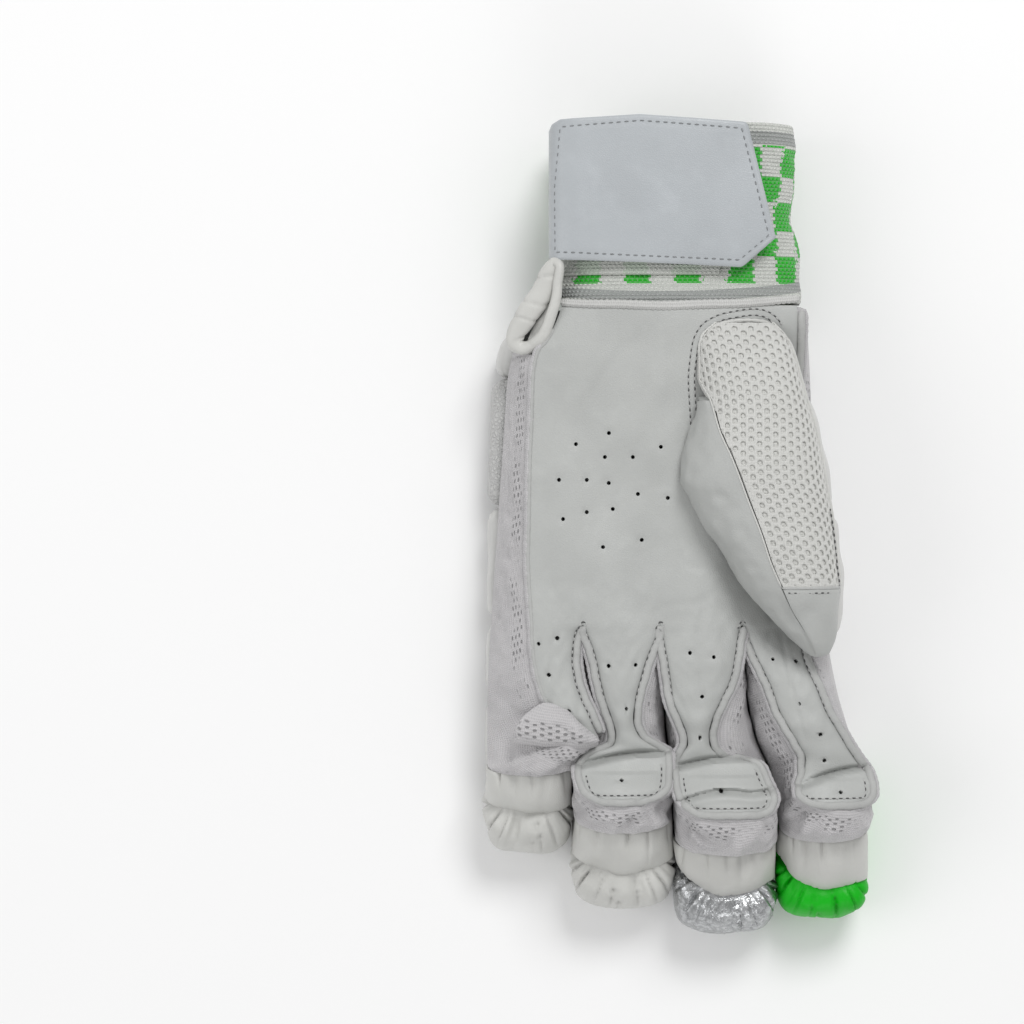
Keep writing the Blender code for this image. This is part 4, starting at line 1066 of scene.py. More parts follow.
def tip_roll(f, look, slot):
    """Padded fingertip whose end is gathered up into the seam with the band."""
    name = FINGERS[f]
    _, _, band_side, band_tip, end, _, band_z = TIPS[name]
    n = 168
    a = ring_section(n)
    c, s = np.cos(a), np.sin(a)
    main = np.linspace(TIP_START, band_side + 1.0, 26)
    tail_y0 = band_side + 1.0
    q = np.linspace(0, 1, 61)[1:]
    tail = tail_y0 + (end - tail_y0) * np.sin(q * math.pi / 2) ** 0.9
    ys = np.r_[main, tail]
    rings, uvs = [], []
    for i, y in enumerate(ys):
        left, right = float(edge(y, f)) + 0.2, float(edge(y, f + 1)) - 0.2
        start = np.clip((TIP_START - y) / 4.0, 0, 1)
        e = 4.2 * (1 - math.sin(start * math.pi / 2))
        low, high = e * 1.0, PAD_TOP - e * 1.0
        power = 5.0
        # the roll swells under the edge of the band
        rise = smooth((tail_y0 + 5.0 - y) / (5.0 + 0.35 * (tail_y0 - band_tip + 1.0)))
        high = high + (band_z - PAD_TOP + 0.2) * rise
        if y < tail_y0:
            g = min(1.0, (tail_y0 - y) / (tail_y0 - end))
            shrink = 1 - (1 - g ** 4.6) ** 0.42
            e = (right - left) / 2 * shrink * 0.96
            high = high - (high - 13.0) * (1 - (1 - max(0.0, (band_tip - y) / (band_tip - end)) ** 2.4) ** 0.5)
            low = 13.0 * (1 - (1 - g ** 3.4) ** 0.5)
            power = 5.0 - 2.2 * g
        cx, cz = (left + right) / 2, (low + high) / 2
        ax, az = (right - left) / 2 - e, max(0.3, (high - low) / 2)
        bent = np.where(s > 0, min(power, 5.0 - 1.6 * float(rise)), power)
        x = cx + ax * np.sign(c) * np.abs(c) ** (2 / bent)
        z = cz + az * np.sign(s) * np.abs(s) ** (2 / bent)
        rings.append(np.stack([x, np.full(n, y), z], axis=1))
    points = np.array(rings)
    flat = points.reshape(-1, 3)
    cells = outward_ring(flat, grid_cells(len(ys), n, closed=True))
    normal = normals_of(flat, cells)
    left, right = float(edge(end, f)), float(edge(end, f + 1))
    cx = (left + right) / 2
    yc = band_side + 9.0
    yl, yr = BAND_SIDES[name]
    across = np.clip((flat[:, 0] - left) / (right - left), 0, 1)
    arch = (4 * across * (1 - across)) ** (BAND_BEND[name] / 2)
    seam_y = yl + (yr - yl) * across + (band_tip - (yl + (yr - yl) * across)) * arch
    fan = np.arctan2(flat[:, 0] - cx, -(flat[:, 1] - (band_side + 14.0)))
    phase = fan * 24.0 / 4.7
    from_seam = np.maximum(0.0, seam_y - flat[:, 1]) + np.maximum(0.0, band_z - 4.0 - flat[:, 2]) * 0.5
    zone = smooth((seam_y + 3.0 - flat[:, 1]) / 4.0) * smooth((flat[:, 2] - 2.5) / 7.0)
    gather = (0.45 + 0.55 * smooth(from_seam / 3.5)) * np.exp(-(np.maximum(from_seam - 4.0, 0) / 7.5) ** 2)
    bump = zone * (3.4 * pleats(phase, 11 + 3 * f, 2.1) * gather + 0.8 * pleats(phase * 2.1 + 0.4, 17 + f, 1.8) * np.exp(-from_seam / 5.0))
    bump += zone * 1.5 * np.exp(-((from_seam - 5.0) / 5.0) ** 2)
    if name == "middle":
        bump += zone * (0.22 * creasing(flat * np.array([1.3, 0.5, 1.0]), 9.0, 151) + 0.05 * fuzz(flat, 2.6, 152))
    bump += 0.25 * fuzz(flat, 13.0, 60 + f) * smooth((flat[:, 2] - 1.5) / 6.0)
    flat = flat + normal * bump[:, None]
    flat[:, 2] = np.maximum(flat[:, 2], 0.0)
    faces = [tuple(cell) for cell in cells]
    flip = cells[0][0] != grid_cells(len(ys), n, closed=True)[0][0]
    first, last = list(range(n)), [(len(ys) - 1) * n + j for j in range(n)]
    centre0, centre1 = flat[:n].mean(axis=0), flat[-n:].mean(axis=0)
    extra = [centre0, centre1 + np.array([0, -0.3, 0])]
    flat = np.concatenate([flat, np.array(extra)])
    i0, i1 = len(flat) - 2, len(flat) - 1
    for j in range(n):
        k = (j + 1) % n
        faces.append((first[k], first[j], i0) if not flip else (first[j], first[k], i0))
        faces.append((last[j], last[k], i1) if not flip else (last[k], last[j], i1))
    uv = np.stack([flat[:, 0], flat[:, 1]], axis=1)
    made = make(f"{name}_tip_roll_skin", flat, faces, look, slot, uv=uv, angle=0)
    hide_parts(name + "_tip_roll")
    return made


def outward_ring(points, cells):
    """Turns a ring surface's cells so that they face out."""
    a, b, c, d = (points[cells[:, i]] for i in range(4))
    n = np.cross(c - a, d - b)
    mid = (a + b + c + d) / 4
    centre = points.mean(axis=0)
    return cells[:, ::-1].copy() if (n * (mid - centre)).sum() < 0 else cells


def pillow(name, node, ring_at, y0, y1, look, slot, seed, n=72, rows=34, pucker=0.5, subdivide=0):
    """Padded block between y0 and y1: ring_at(y, inward) gives its section, points drawn in at both ends."""
    t = np.linspace(0, 1, rows)
    ys = y0 + (y1 - y0) * (0.5 - 0.5 * np.cos(t * math.pi))
    rings = []
    for y in ys:
        d = min(abs(y - y0), abs(y - y1)) / 5.5
        inward = 5.2 * (1 - math.sqrt(max(0.0, 1 - (1 - min(1.0, d)) ** 2)))
        rings.append(ring_at(y, inward))
    points = np.array(rings).reshape(-1, 3)
    cells = outward_ring(points, grid_cells(rows, n, closed=True))
    flip = cells[0][0] != grid_cells(rows, n, closed=True)[0][0]
    normal = normals_of(points, cells)
    near = np.minimum(np.abs(points[:, 1] - y0), np.abs(points[:, 1] - y1))
    phase = points[:, 0] / 5.2 + points[:, 2] / 9.0
    bump = pucker * pleats(phase, seed) * np.exp(-near / 4.0) + 0.28 * fuzz(points, 17.0, seed)
    points = points + normal * (bump * smooth((points[:, 2] - 0.6) / 5.0))[:, None]
    points[:, 2] = np.maximum(points[:, 2], 0.0)
    faces = [tuple(c) for c in cells]
    first, last = list(range(n)), [(rows - 1) * n + j for j in range(n)]
    count = len(points)
    points = np.concatenate([points, points[:n].mean(axis=0)[None], points[-n:].mean(axis=0)[None]])
    for j in range(n):
        k = (j + 1) % n
        faces.append((first[k], first[j], count) if not flip else (first[j], first[k], count))
        faces.append((last[j], last[k], count + 1) if not flip else (last[k], last[j], count + 1))
    made = make(name, points, faces, look, slot, uv=points[:, :2], angle=0, subdivide=subdivide)
    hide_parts(node)
    return made


def block_ring(f, n=72):
    a = np.linspace(0, 2 * math.pi, n, endpoint=False)
    c, s = np.cos(a), np.sin(a)

    def at(y, inward):
        left, right = float(edge(y, f)) + 0.2 + inward, float(edge(y, f + 1)) - 0.2 - inward
        low, high = inward * 0.95, PAD_TOP - 0.2 - inward * 0.95
        x = (left + right) / 2 + (right - left) / 2 * np.sign(c) * np.abs(c) ** (2 / 4.6)
        z = (low + high) / 2 + (high - low) / 2 * np.sign(s) * np.abs(s) ** (2 / 4.6)
        return np.stack([x, np.full(n, y), z], axis=1)

    return at


ROLL_LOOKS = {"little": ("white", "pad_white"), "ring": ("white", "pad_white"), "middle": ("silver", "pad_silver"), "index": ("green", "pad_green")}
for f, name in enumerate(FINGERS):
    tip_band(f)
    look, slot = ROLL_LOOKS[name]
    tip_roll(f, M[look], slot)
    for part, y0, y1 in FINGER_ROWS:
        pillow(f"{name}_{part}_pad_skin", f"{name}_{part}_pad", block_ring(f), y0, y1, M["back"], "pad_white", 70 + f)
    for part, y0, y1 in HAND_ROWS:
        pillow(f"{name}_{part}_hand_pad_skin", f"{name}_{part}_hand_pad", block_ring(f), y0, y1, M["pebble" if part == "mid" else "back"], "pad_white", 80 + f)


# ------------------------------------------------------------------ thumb
def thumb_lows(y):
    left = th_left(y)
    a = np.maximum(48.6, palm_height(np.minimum(left + 5.0, 40.0), y) + 2.4)
    b = palm_height(np.minimum(left, 40.0), y) + 0.9
    t = smooth((y - 40.0) / 14.0)
    right = np.maximum(th_low(y), palm_height(np.minimum(th_right(y), 40.5), y) + 0.8)
    return a * (1 - t) + b * t, right


def thumb_at(y, u):
    """Point over the thumb: u from 0 at the palm-side foot to 1 at the outer edge."""
    y, u = np.broadcast_arrays(np.asarray(y, float), np.asarray(u, float))
    left, right, crest = th_left(y), th_right(y), th_crest(y)
    lo, hi = thumb_lows(y)
    x = left + (right - left) * u
    low = lo + (hi - lo) * u
    v = 2 * u - 1
    h = np.maximum(0.0, 1 - np.abs(v - 0.12 * (1 - v * v)) ** 2.3) ** 0.5
    return np.stack([x, y, low + (crest - low) * h], axis=-1)


def seam_u(y):
    return np.clip((th_seam(y) - th_left(y)) / (th_right(y) - th_left(y)), 0.0, 1.0)


def angle_of(u):
    return np.arccos(np.clip(1 - 2 * u, -1, 1))


def sheet_between(y, a0, a1, n):
    t = np.linspace(0, 1, n)[None, :]
    a = a0[:, None] * (1 - t) + a1[:, None] * t
    return thumb_at(y[:, None], (1 - np.cos(a)) / 2)


MESH_EDGE = Parts()


def thumb_mesh():
    y = np.linspace(72.6, THUMB_TIP_Y, 70)
    a0 = angle_of(seam_u(y))
    under = sheet_between(y, a0 + 0.02, np.full_like(y, math.pi - 0.01), 40).reshape(-1, 3)
    cells = outward(under, grid_cells(70, 40), (0, 0, 1))
    n = normals_of(under, cells)
    made = shell("thumb_mesh_lining", under - n * 0.8, cells, 0.7, M["mesh_under"], "mesh_cloth")
    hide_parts("thumb_mesh")
    # open mesh: staggered round holes in tiles laid by length over the stall
    table_y = np.linspace(72.6, THUMB_TIP_Y, 120)
    aa = np.linspace(0.02, math.pi - 0.005, 160)
    arcs = []
    for yy in table_y:
        p = thumb_at(yy, (1 - np.cos(aa)) / 2)
        s = np.r_[0, np.cumsum(np.linalg.norm(np.diff(p, axis=0), axis=1))]
        arcs.append(s - np.interp(1.75, aa, s))
    arcs = np.array(arcs)

    def angle_at(q, y):
        i = np.interp(y, table_y[::-1], np.arange(len(table_y))[::-1])
        lo = int(math.floor(i))
        hi = min(lo + 1, len(table_y) - 1)
        s = arcs[lo] * (1 - (i - lo)) + arcs[hi] * (i - lo)
        return float(np.interp(q, s, aa, left=-1.0, right=9.0))

    pitch, step, r = 2.85, 3.3, 1.02
    high_y, low_y = 72.2, THUMB_TIP_Y + 0.1
    keys, pts, cells = {}, [], []

    def limits(y):
        return float(angle_of(seam_u(np.array(y)))) + 0.03, math.pi - 0.03

    def point(q, y):
        key = (round(q * 200), round(y * 200))
        if key not in keys:
            y = min(max(y, low_y), high_y)
            lo, hi = limits(y)
            a = min(max(angle_at(q, y), lo), hi)
            keys[key] = len(pts)
            pts.append(thumb_at(y, (1 - math.cos(a)) / 2))
        return keys[key]

    def span(y):
        i = np.interp(y, table_y[::-1], np.arange(len(table_y))[::-1])
        lo = int(math.floor(i))
        hi = min(lo + 1, len(table_y) - 1)
        s = arcs[lo] * (1 - (i - lo)) + arcs[hi] * (i - lo)
        return [float(np.interp(v, aa, s)) for v in limits(y)]

    rows = int((73.0 - THUMB_TIP_Y) / step) + 2
    for j in range(-14, 15):
        for i in range(-1, rows):
            qc = j * pitch
            yc = 71.6 - (i + 0.5 + 0.5 * (j % 2)) * step
            if yc > high_y + step / 2 - 0.2 or yc < low_y - step / 2 + 0.2:
                continue
            edge_lo, edge_hi = span(min(max(yc, low_y), high_y))
            if qc < edge_lo - pitch / 2 + 0.1 or qc > edge_hi + pitch / 2 - 0.1:
                continue
            # holes close up towards the sewn edges of the mesh
            room = min(qc - edge_lo - 0.5, edge_hi - qc - 0.7, high_y - yc - 0.4, yc - low_y - 0.4)
            rr = min(r, room)
            if rr < 0.35:
                rr = 0.03
            corners = [(qc - pitch / 2, yc - step / 2), (qc, yc - step / 2), (qc + pitch / 2, yc - step / 2), (qc + pitch / 2, yc),
                       (qc + pitch / 2, yc + step / 2), (qc, yc + step / 2), (qc - pitch / 2, yc + step / 2), (qc - pitch / 2, yc)]
            outer = [point(q, y1) for q, y1 in corners]
            inner = []
            for q, y1 in corners:
                ang = math.atan2(y1 - yc, q - qc)
                inner.append(point(qc + rr * math.cos(ang) + 1e-4, yc + rr * math.sin(ang)))
            for k in range(8):
                m = (k + 1) % 8
                cells.append((outer[k], outer[m], inner[m], inner[k]))
    pts = np.array(pts)
    cells = outward(pts, np.array(cells), (0, 0, 1))
    made = shell("thumb_open_mesh", pts, cells, 0.8, M["mesh"], "mesh_cloth", subdivide=1, angle=0)
    # edging along the mesh
    right = thumb_at(y, np.full_like(y, 0.998))
    MESH_EDGE.add(*tube(right[4:], 0.8, 0.8))
    seam = thumb_at(y, seam_u(y))[8:]
    MESH_EDGE.add(*tube(seam, 0.34, 0.3))
    stitch_line(STITCH, thumb_at(np.linspace(6.0, THUMB_TIP_Y, 60), 0.985) + np.array([0.1, 0, 0.5]), pitch=2.3, length=1.3)
    arc_path = np.array([(5.6, 55.0, 0), (6.2, 62.0, 0), (8.2, 68.2, 0), (11.6, 71.3, 0), (16.4, 72.6, 0), (22.0, 73.0, 0), (27.4, 72.8, 0), (31.0, 71.9, 0)])
    arc_path, _ = resample(soften(resample(arc_path, 1.0)[0], 4), 1.0)
    arc_path[:, 2] = palm_height(arc_path[:, 0], arc_path[:, 1]) + soft_wrinkles(arc_path[:, 0], arc_path[:, 1]) + 0.9
    MESH_EDGE.add(*tube(arc_path, 0.65, 0.6, wrinkle=lambda s, a: 0.1 * np.sin(s * 2.2) + 0 * a))
    # the mesh runs down to the palm at the root of the thumb
    wy = np.linspace(72.4, 47.6, 40)
    top = thumb_at(wy, np.full_like(wy, 0.992))
    top[:, 2] -= 0.4
    foot_x = np.minimum(top[:, 0] + 0.4, 40.2)
    foot = np.stack([foot_x, wy, palm_height(foot_x, wy) + 0.5], axis=1)
    w = np.linspace(0, 1, 10)[None, :, None]
    wall = top[:, None, :] * (1 - w) + foot[:, None, :] * w
    wall[..., 0] += 0.8 * np.sin(math.pi * w[..., 0])
    wall = wall.reshape(-1, 3)
    cells = outward(wall, grid_cells(40, 10), (1, 0, 0))
    shell("thumb_mesh_side", wall, cells, 0.7, M["mesh_under"], "mesh_cloth", uv=wall[:, 1:])
    # and closes on the palm's side, from the arc down to the leather
    wy = np.linspace(72.4, 43.4, 44)
    top = thumb_at(wy, seam_u(wy) + 0.006)
    top[:, 2] -= 0.35
    foot = top.copy()
    foot[:, 0] -= 0.7
    foot[:, 2] = np.minimum(palm_height(np.minimum(foot[:, 0], 40.0), wy) + 0.3, top[:, 2] - 0.2)
    wall = top[:, None, :] * (1 - w) + foot[:, None, :] * w
    wall[..., 0] -= 0.5 * np.sin(math.pi * w[..., 0])
    wall = wall.reshape(-1, 3)
    cells = outward(wall, grid_cells(44, 10), (-1, 0, 0))
    shell("thumb_mesh_inner_side", wall, cells, 0.6, M["mesh_under"], "mesh_cloth", uv=wall[:, 1:])


thumb_mesh()
MESH_EDGE.make("mesh_edging", M["mesh"], "mesh_cloth", angle=0)


def thumb_leather():
    y = np.linspace(44.1, -45.0, 90)
    a1 = angle_of(seam_u(y)) - 0.015
    upper = sheet_between(y, a1, np.full_like(y, 0.0), 22)
    left, right = th_left(y), th_right(y)
    foot, _ = thumb_lows(y)
    reach = np.minimum(16.0, 0.4 * (right - left))
    lower = []
    for k, (dx, dz) in enumerate(((0.25, -0.7), (1.1, -1.5), (3.0, -1.8))):
        lower.append(np.stack([left + dx, y, foot + dz], axis=1))
    for t in (0.5, 1.0):
        lower.append(np.stack([left + 3.0 + (reach - 3.0) * t, y, foot - 1.8], axis=1))
    points = np.concatenate([upper, np.stack(lower, axis=1)], axis=1)
    rows, cols = points.shape[:2]
    p = points.reshape(-1, 3)
    cells = outward(p, grid_cells(rows, cols), (-1, 0, 0.5))
    across = np.tile(np.linspace(0, 1, cols), rows)
    bump = 0.45 * fuzz(p, 24.0, 90) + 0.15 * fuzz(p, 8.0, 91)
    bump *= smooth(np.tile(np.arange(cols) / 4.0, rows)) * smooth((24 - np.tile(np.arange(cols), rows)) / 4.0)
    made = shell("thumb_leather_skin", p, cells, 1.0, M["palm"], "palm_leather", raise_by=bump)
    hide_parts("thumb_leather")
    # closed wrist end of the leather
    su = float(seam_u(np.array(44.1)))
    u = np.linspace(0.0, min(1.0, su + 0.04), 24)
    over = thumb_at(np.full(24, 44.0), u)
    over[:, 2] -= 0.5
    under = over.copy()
    under[:, 1] += 1.6
    under[:, 2] = palm_height(np.minimum(over[:, 0], 40.0), 45.0) + 0.6
    under[:, 2] = np.minimum(under[:, 2], over[:, 2] - 0.2)
    w = np.linspace(0, 1, 8)[None, :, None]
    cap = over[:, None, :] * (1 - w) + under[:, None, :] * w
    cap[..., 1] += 0.9 * np.sin(math.pi * w[..., 0])
    cap = cap.reshape(-1, 3)
    cells = outward(cap, grid_cells(24, 8), (0, 1, 0.3))
    shell("thumb_leather_end", cap, cells, 0.8, M["palm"], "palm_leather")
    # tip, beyond the mesh
    y = np.linspace(THUMB_TIP_Y - 0.6, -45.0, 34)
    a0 = angle_of(seam_u(y)) + 0.02
    p = sheet_between(y, a0, np.full_like(y, math.pi - 0.005), 30).reshape(-1, 3)
    cells = outward(p, grid_cells(34, 30), (0, 0, 1))
    bump = 0.45 + 0.35 * fuzz(p, 15.0, 95)
    made = shell("thumb_tip_skin", p, cells, 1.1, M["palm"], "palm_leather", raise_by=bump, rounded=0.2)
    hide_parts("thumb_tip")
    # rounded nose that closes the end of the stall
    a = np.linspace(0.03, math.pi - 0.03, 16)[:, None]
    b = np.linspace(0, 2 * math.pi, 28, endpoint=False)[None, :]
    nose = np.stack([47.3 + 3.8 * np.sin(a) * np.cos(b), -43.9 + 2.4 * np.sin(a) * np.sin(b), 49.7 + 2.5 * np.cos(a) + 0 * b], axis=-1).reshape(-1, 3)
    cells = outward_ring(nose, grid_cells(16, 28, closed=True))
    make("thumb_tip_end", nose, [tuple(c) for c in cells], M["palm"], "palm_leather", uv=nose[:, :2], angle=0)
    across = sheet_between(np.array([THUMB_TIP_Y - 1.8]), angle_of(seam_u(np.array([THUMB_TIP_Y - 1.8]))) + 0.1, np.array([math.pi - 0.1]), 30)[0]
    across[:, 2] += 0.5
    stitch_line(STITCH, across, pitch=2.4, length=1.4)
    edge_line = sheet_between(np.array([THUMB_TIP_Y - 0.1]), angle_of(seam_u(np.array([THUMB_TIP_Y]))), np.array([math.pi - 0.02]), 30)[0]
    BOUND.add(*tube(edge_line, 0.6, 0.45))
    # two rows of stitching on the palm round the foot of the thumb
    outer = np.array([(2.8, 34.1), (2.1, 45.8), (1.7, 52.9), (2.4, 59.2), (3.5, 66.7), (6.7, 72.0), (13.0, 75.2), (23.0, 77.0), (27.9, 77.0), (31.5, 75.6), (34.3, 73.1), (35.4, 70.9)])
    path, _ = resample(np.c_[outer, np.zeros(len(outer))], 1.0)
    path = soften(path, 6)
    inner = path.copy()
    d = np.gradient(path, axis=0)
    d /= np.linalg.norm(d, axis=1)[:, None]
    inner[:, 0] += d[:, 1] * 2.2
    inner[:, 1] -= d[:, 0] * 2.2
    for line in (path, inner):
        line[:, 2] = palm_height(line[:, 0], line[:, 1]) + soft_wrinkles(line[:, 0], line[:, 1])
        stitch_line(STITCH, line, pitch=2.35, length=1.35, lift=0.06)


thumb_leather()


def thumb_pad(part, y0, y1):
    n = 72
    a = np.linspace(0, 2 * math.pi, n, endpoint=False)
    c, s = np.cos(a), np.sin(a)

    def under(x, y):
        return float(palm_height(min(x, 41.0), max(y, -35.0)) if y > -36 else 45.0 - drop(x, y) + 2.2) + 1.3

    def at(y, inward):
        left, right = float(th_left(y)), float(th_right(y))
        top = float(th_low(y)) - 1.4
        x0 = left + min(17.0, 0.42 * (right - left)) + 0.8
        x1 = right + 2.4
        inward = min(inward, 0.3 * (x1 - x0))
        x0, x1 = x0 + inward, x1 - inward
        x = (x0 + x1) / 2 + (x1 - x0) / 2 * np.sign(c) * np.abs(c) ** (2 / 3.4)
        low = np.array([max(under(v, y), under(v + 2.0, y)) for v in x]) + inward * 0.8
        high = top - inward * 0.8
        low = np.minimum(low, high - 2.5)
        z = (low + high) / 2 + (high - low) / 2 * np.sign(s) * np.abs(s) ** (2 / 3.4)
        return np.stack([x, np.full(n, y), z], axis=1)

    pillow(f"thumb_{part}_pad_skin", f"thumb_{part}_pad", at, y0, y1, M["back"], "pad_white", 99, pucker=0.9)


thumb_pad("wrist", 47.0, 6.0)
thumb_pad("tip", 5.4, -41.0)


# ------------------------------------------------------------------ wristband, strap, tape, slit
def wristband():
    left, right, low, high = columns(WRISTBAND)
    n, rows = 220, 130
    y = np.linspace(144.0, 79.2, rows)
    a = np.linspace(0, 2 * math.pi, n, endpoint=False) - math.pi / 2
    c, s = np.cos(a), np.sin(a)
    power = 2.6
    l, r, b, t = (k(y)[:, None] for k in (left, right, low, high))
    rise = 2.2 * smooth((87.0 - y) / 7.0)[:, None] * smooth(s[None] * 1.6)

    def ring(off):
        x = (l + r) / 2 + ((r - l) / 2 - off) * (np.sign(c) * np.abs(c) ** (2 / power))[None]
        z = (b + t) / 2 + ((t - b) / 2 - off) * (np.sign(s) * np.abs(s) ** (2 / power))[None] + rise
        return np.stack([x, np.repeat(y[:, None], n, 1), z], axis=-1)

    outer = ring(0.0)
    p = outer.reshape(-1, 3)
    rib = 0.07 * np.sin(p[:, 1] * 2 * math.pi / 2.1)
    slack = 0.5 * fuzz(p, 30.0, 110) + 0.2 * fuzz(p, 9.0, 111)
    end = np.exp(-np.minimum(144.0 - p[:, 1], p[:, 1] - 79.2) / 1.2)
    cells = outward_ring(p, grid_cells(rows, n, closed=True))
    normal = normals_of(p, cells)
    p = p + normal * (rib + slack - 0.7 * end)[:, None]
    inner = ring(2.2).reshape(-1, 3) + normal * (slack * 0.8)[:, None]
    arc = np.concatenate([[0], np.cumsum(np.linalg.norm(np.diff(outer[rows // 2], axis=0), axis=1))])
    mid = np.argmin(np.abs(a - math.pi / 2))
    arc = arc - arc[mid]
    # x on top of the band, then length round its side
    u = -arc + outer[rows // 2][mid, 0]
    uv = np.stack([np.tile(u, rows), p[:, 1]], axis=1)
    count = len(p)
    faces = [tuple(v) for v in cells] + [tuple(reversed([w + count for w in v])) for v in cells]
    flip = cells[0][0] != grid_cells(rows, n, closed=True)[0][0]
    for i in (0, rows - 1):
        for j in range(n):
            k = (j + 1) % n
            quad = (i * n + j, i * n + k, count + i * n + k, count + i * n + j)
            if (i == 0) != flip:
                quad = quad[::-1]
            faces.append(quad)
    made = make("wristband_knit", np.concatenate([p, inner]), faces, M["cuff"], "cuff_knit", uv=np.concatenate([uv, uv]))
    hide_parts("wristband")


wristband()


def hem():
    """Knitted edge where the wristband laps onto the palm leather."""
    x = np.linspace(-43.6, 41.4, 140)
    bow = 1 - ((x + 1.0) / 43.0) ** 2
    y = 80.2 + 0.012 * x - 1.7 * bow + 0.15 * np.sin(x * 0.21)
    z = palm_height(np.clip(x, -42.0, 40.0), 78.4) + soft_wrinkles(x, 0 * x + 78.4) * 0.8 + 0.05
    parts = Parts()
    parts.add(*tube(np.stack([x, y, z], axis=1), 1.35 + 0.3 * bow, 0.95, sides=14, wrinkle=lambda s, a: 0.12 * np.sin(s * 3.1) + 0.06 * np.sin(s * 6.7 + a)))
    parts.make("wristband_hem", M["hem"], "cuff_knit", angle=0)
    # the turned-in end of the leather, down to the knit
    left, right, b, t = (k(np.full_like(x, 80.6)) for k in columns(WRISTBAND))
    w = np.clip(np.abs(x - (left + right) / 2) / ((right - left) / 2), 0, 0.999)
    band = (b + t) / 2 + (t - b) / 2 * (1 - w ** 2.6) ** (1 / 2.6)
    top = np.stack([x, y - 0.2, z - 0.2], axis=1)
    foot = np.stack([x, np.full_like(x, 80.9), np.minimum(band - 0.9, z - 0.9)], axis=1)
    q = np.linspace(0, 1, 8)[None, :, None]
    wall = (top[:, None, :] * (1 - q) + foot[:, None, :] * q).reshape(-1, 3)
    cells = outward(wall, grid_cells(len(x), 8), (0, 1, 0))
    shell("wristband_seam", wall, cells, 0.6, M["hem"], "cuff_knit", uv=wall[:, ::2])


hem()

STRAP_TOP = [(-47.6, 140.6), (-46.6, 142.6), (-43.7, 144.2), (-15.4, 145.9), (22.0, 143.2), (23.0, 142.0), (32.4, 103.6), (32.9, 102.6)]
STRAP_LOW = [(-47.6, 95.6), (-47.0, 94.8), (-46.0, 94.5), (-15.4, 93.5), (20.2, 91.7), (21.4, 92.2), (32.4, 101.8), (32.9, 102.4)]
STRAP_Z = [(-47.6, 40.0), (-47.0, 43.2), (-45.6, 45.6), (-42.0, 47.6), (-37.0, 48.5), (-15.4, 48.9), (4.0, 49.0), (20.7, 48.8), (33.0, 48.2)]


def strap_height(x, y):
    z = spline([p[0] for p in STRAP_Z], [p[1] for p in STRAP_Z])(x)
    q = np.stack([x, y, 0 * x], axis=-1)
    return z + 0.22 * fuzz(q, 44.0, 120)


def strap():
    x = np.r_[np.linspace(-47.6, -42.0, 12), np.linspace(-41.0, 20.0, 62), np.linspace(20.6, 32.9, 26)]
    hi = np.interp(x, [p[0] for p in STRAP_TOP], [p[1] for p in STRAP_TOP])
    lo = np.interp(x, [p[0] for p in STRAP_LOW], [p[1] for p in STRAP_LOW])
    t = np.r_[0, 0.008, 0.02, np.linspace(0.045, 0.955, 40), 0.98, 0.992, 1.0]
    X = np.repeat(x[:, None], len(t), 1)
    Y = lo[:, None] + (hi - lo)[:, None] * t[None]
    Z = strap_height(X, Y)
    d = np.minimum(Y - lo[:, None], hi[:, None] - Y)
    d = np.minimum(d, (X + 47.6) * 3)
    slant = np.abs((X - 33.0) * 0.969 + (Y - 102.4) * 0.252)
    d = np.where(X > 20, np.minimum(d, slant), d)
    Z = Z - 0.55 * np.clip(1 - d / 1.1, 0, 1) ** 2
    # the line of sewing pulls the leather down a little
    Z = Z - 0.16 * np.exp(-((d - 2.2) / 0.55) ** 2)
    p = np.stack([X, Y, Z], axis=-1).reshape(-1, 3)
    cells = outward(p, grid_cells(len(x), len(t)), (0, 0, 1))
    made = shell("wrist_strap_leather", p, cells, 2.1, M["strap"], "strap_leather", uv=p[:, :2])
    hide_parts("wrist_strap")
    line = np.array([(-45.4, 97.2), (-45.6, 120.0), (-43.6, 141.4), (-15.4, 143.6), (20.6, 140.9), (30.2, 103.0), (19.8, 94.2), (-15.4, 95.8), (-45.4, 97.2)])
    path, _ = resample(np.c_[line, np.zeros(len(line))], 0.8)
    path[:, 2] = strap_height(path[:, 0], path[:, 1]) - 0.12
    stitch_line(GREY_STITCH, path, pitch=2.75, length=1.7, radius=0.22, lift=0.04, holes=False)


strap()


def tape():
    """Loop tape sewn on the knit under the strap."""
    n, m = 90, 20
    x = np.linspace(-45.0, 26.5, n)
    low = 89.4 + 6.0 * smooth((x - 12.6) / 1.6)
    X = np.repeat(x[:, None], m, 1)
    Y = low[:, None] + (112.0 - low)[:, None] * np.linspace(0, 1, m)[None]
    left, right, b, t = (k(Y) for k in columns(WRISTBAND))
    w = np.clip(np.abs(X - (left + right) / 2) / ((right - left) / 2), 0, 0.995)
    band = (b + t) / 2 + (t - b) / 2 * (1 - w ** 2.6) ** (1 / 2.6)
    Z = np.minimum(45.2, band + 1.3) + 0.12 * fuzz(np.stack([X, Y, 0 * X], -1).reshape(-1, 3), 20.0, 130).reshape(X.shape)
    Z = Z - 0.5 * np.clip(1 - (Y - low[:, None]) / 1.0, 0, 1)
    p = np.stack([X, Y, Z], -1).reshape(-1, 3)
    cells = outward(p, grid_cells(n, m), (0, 0, 1))
    made = shell("closing_tape_cloth", p, cells, 1.0, M["tape"], "tape", uv=p[:, :2])
    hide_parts("closing_tape")


tape()


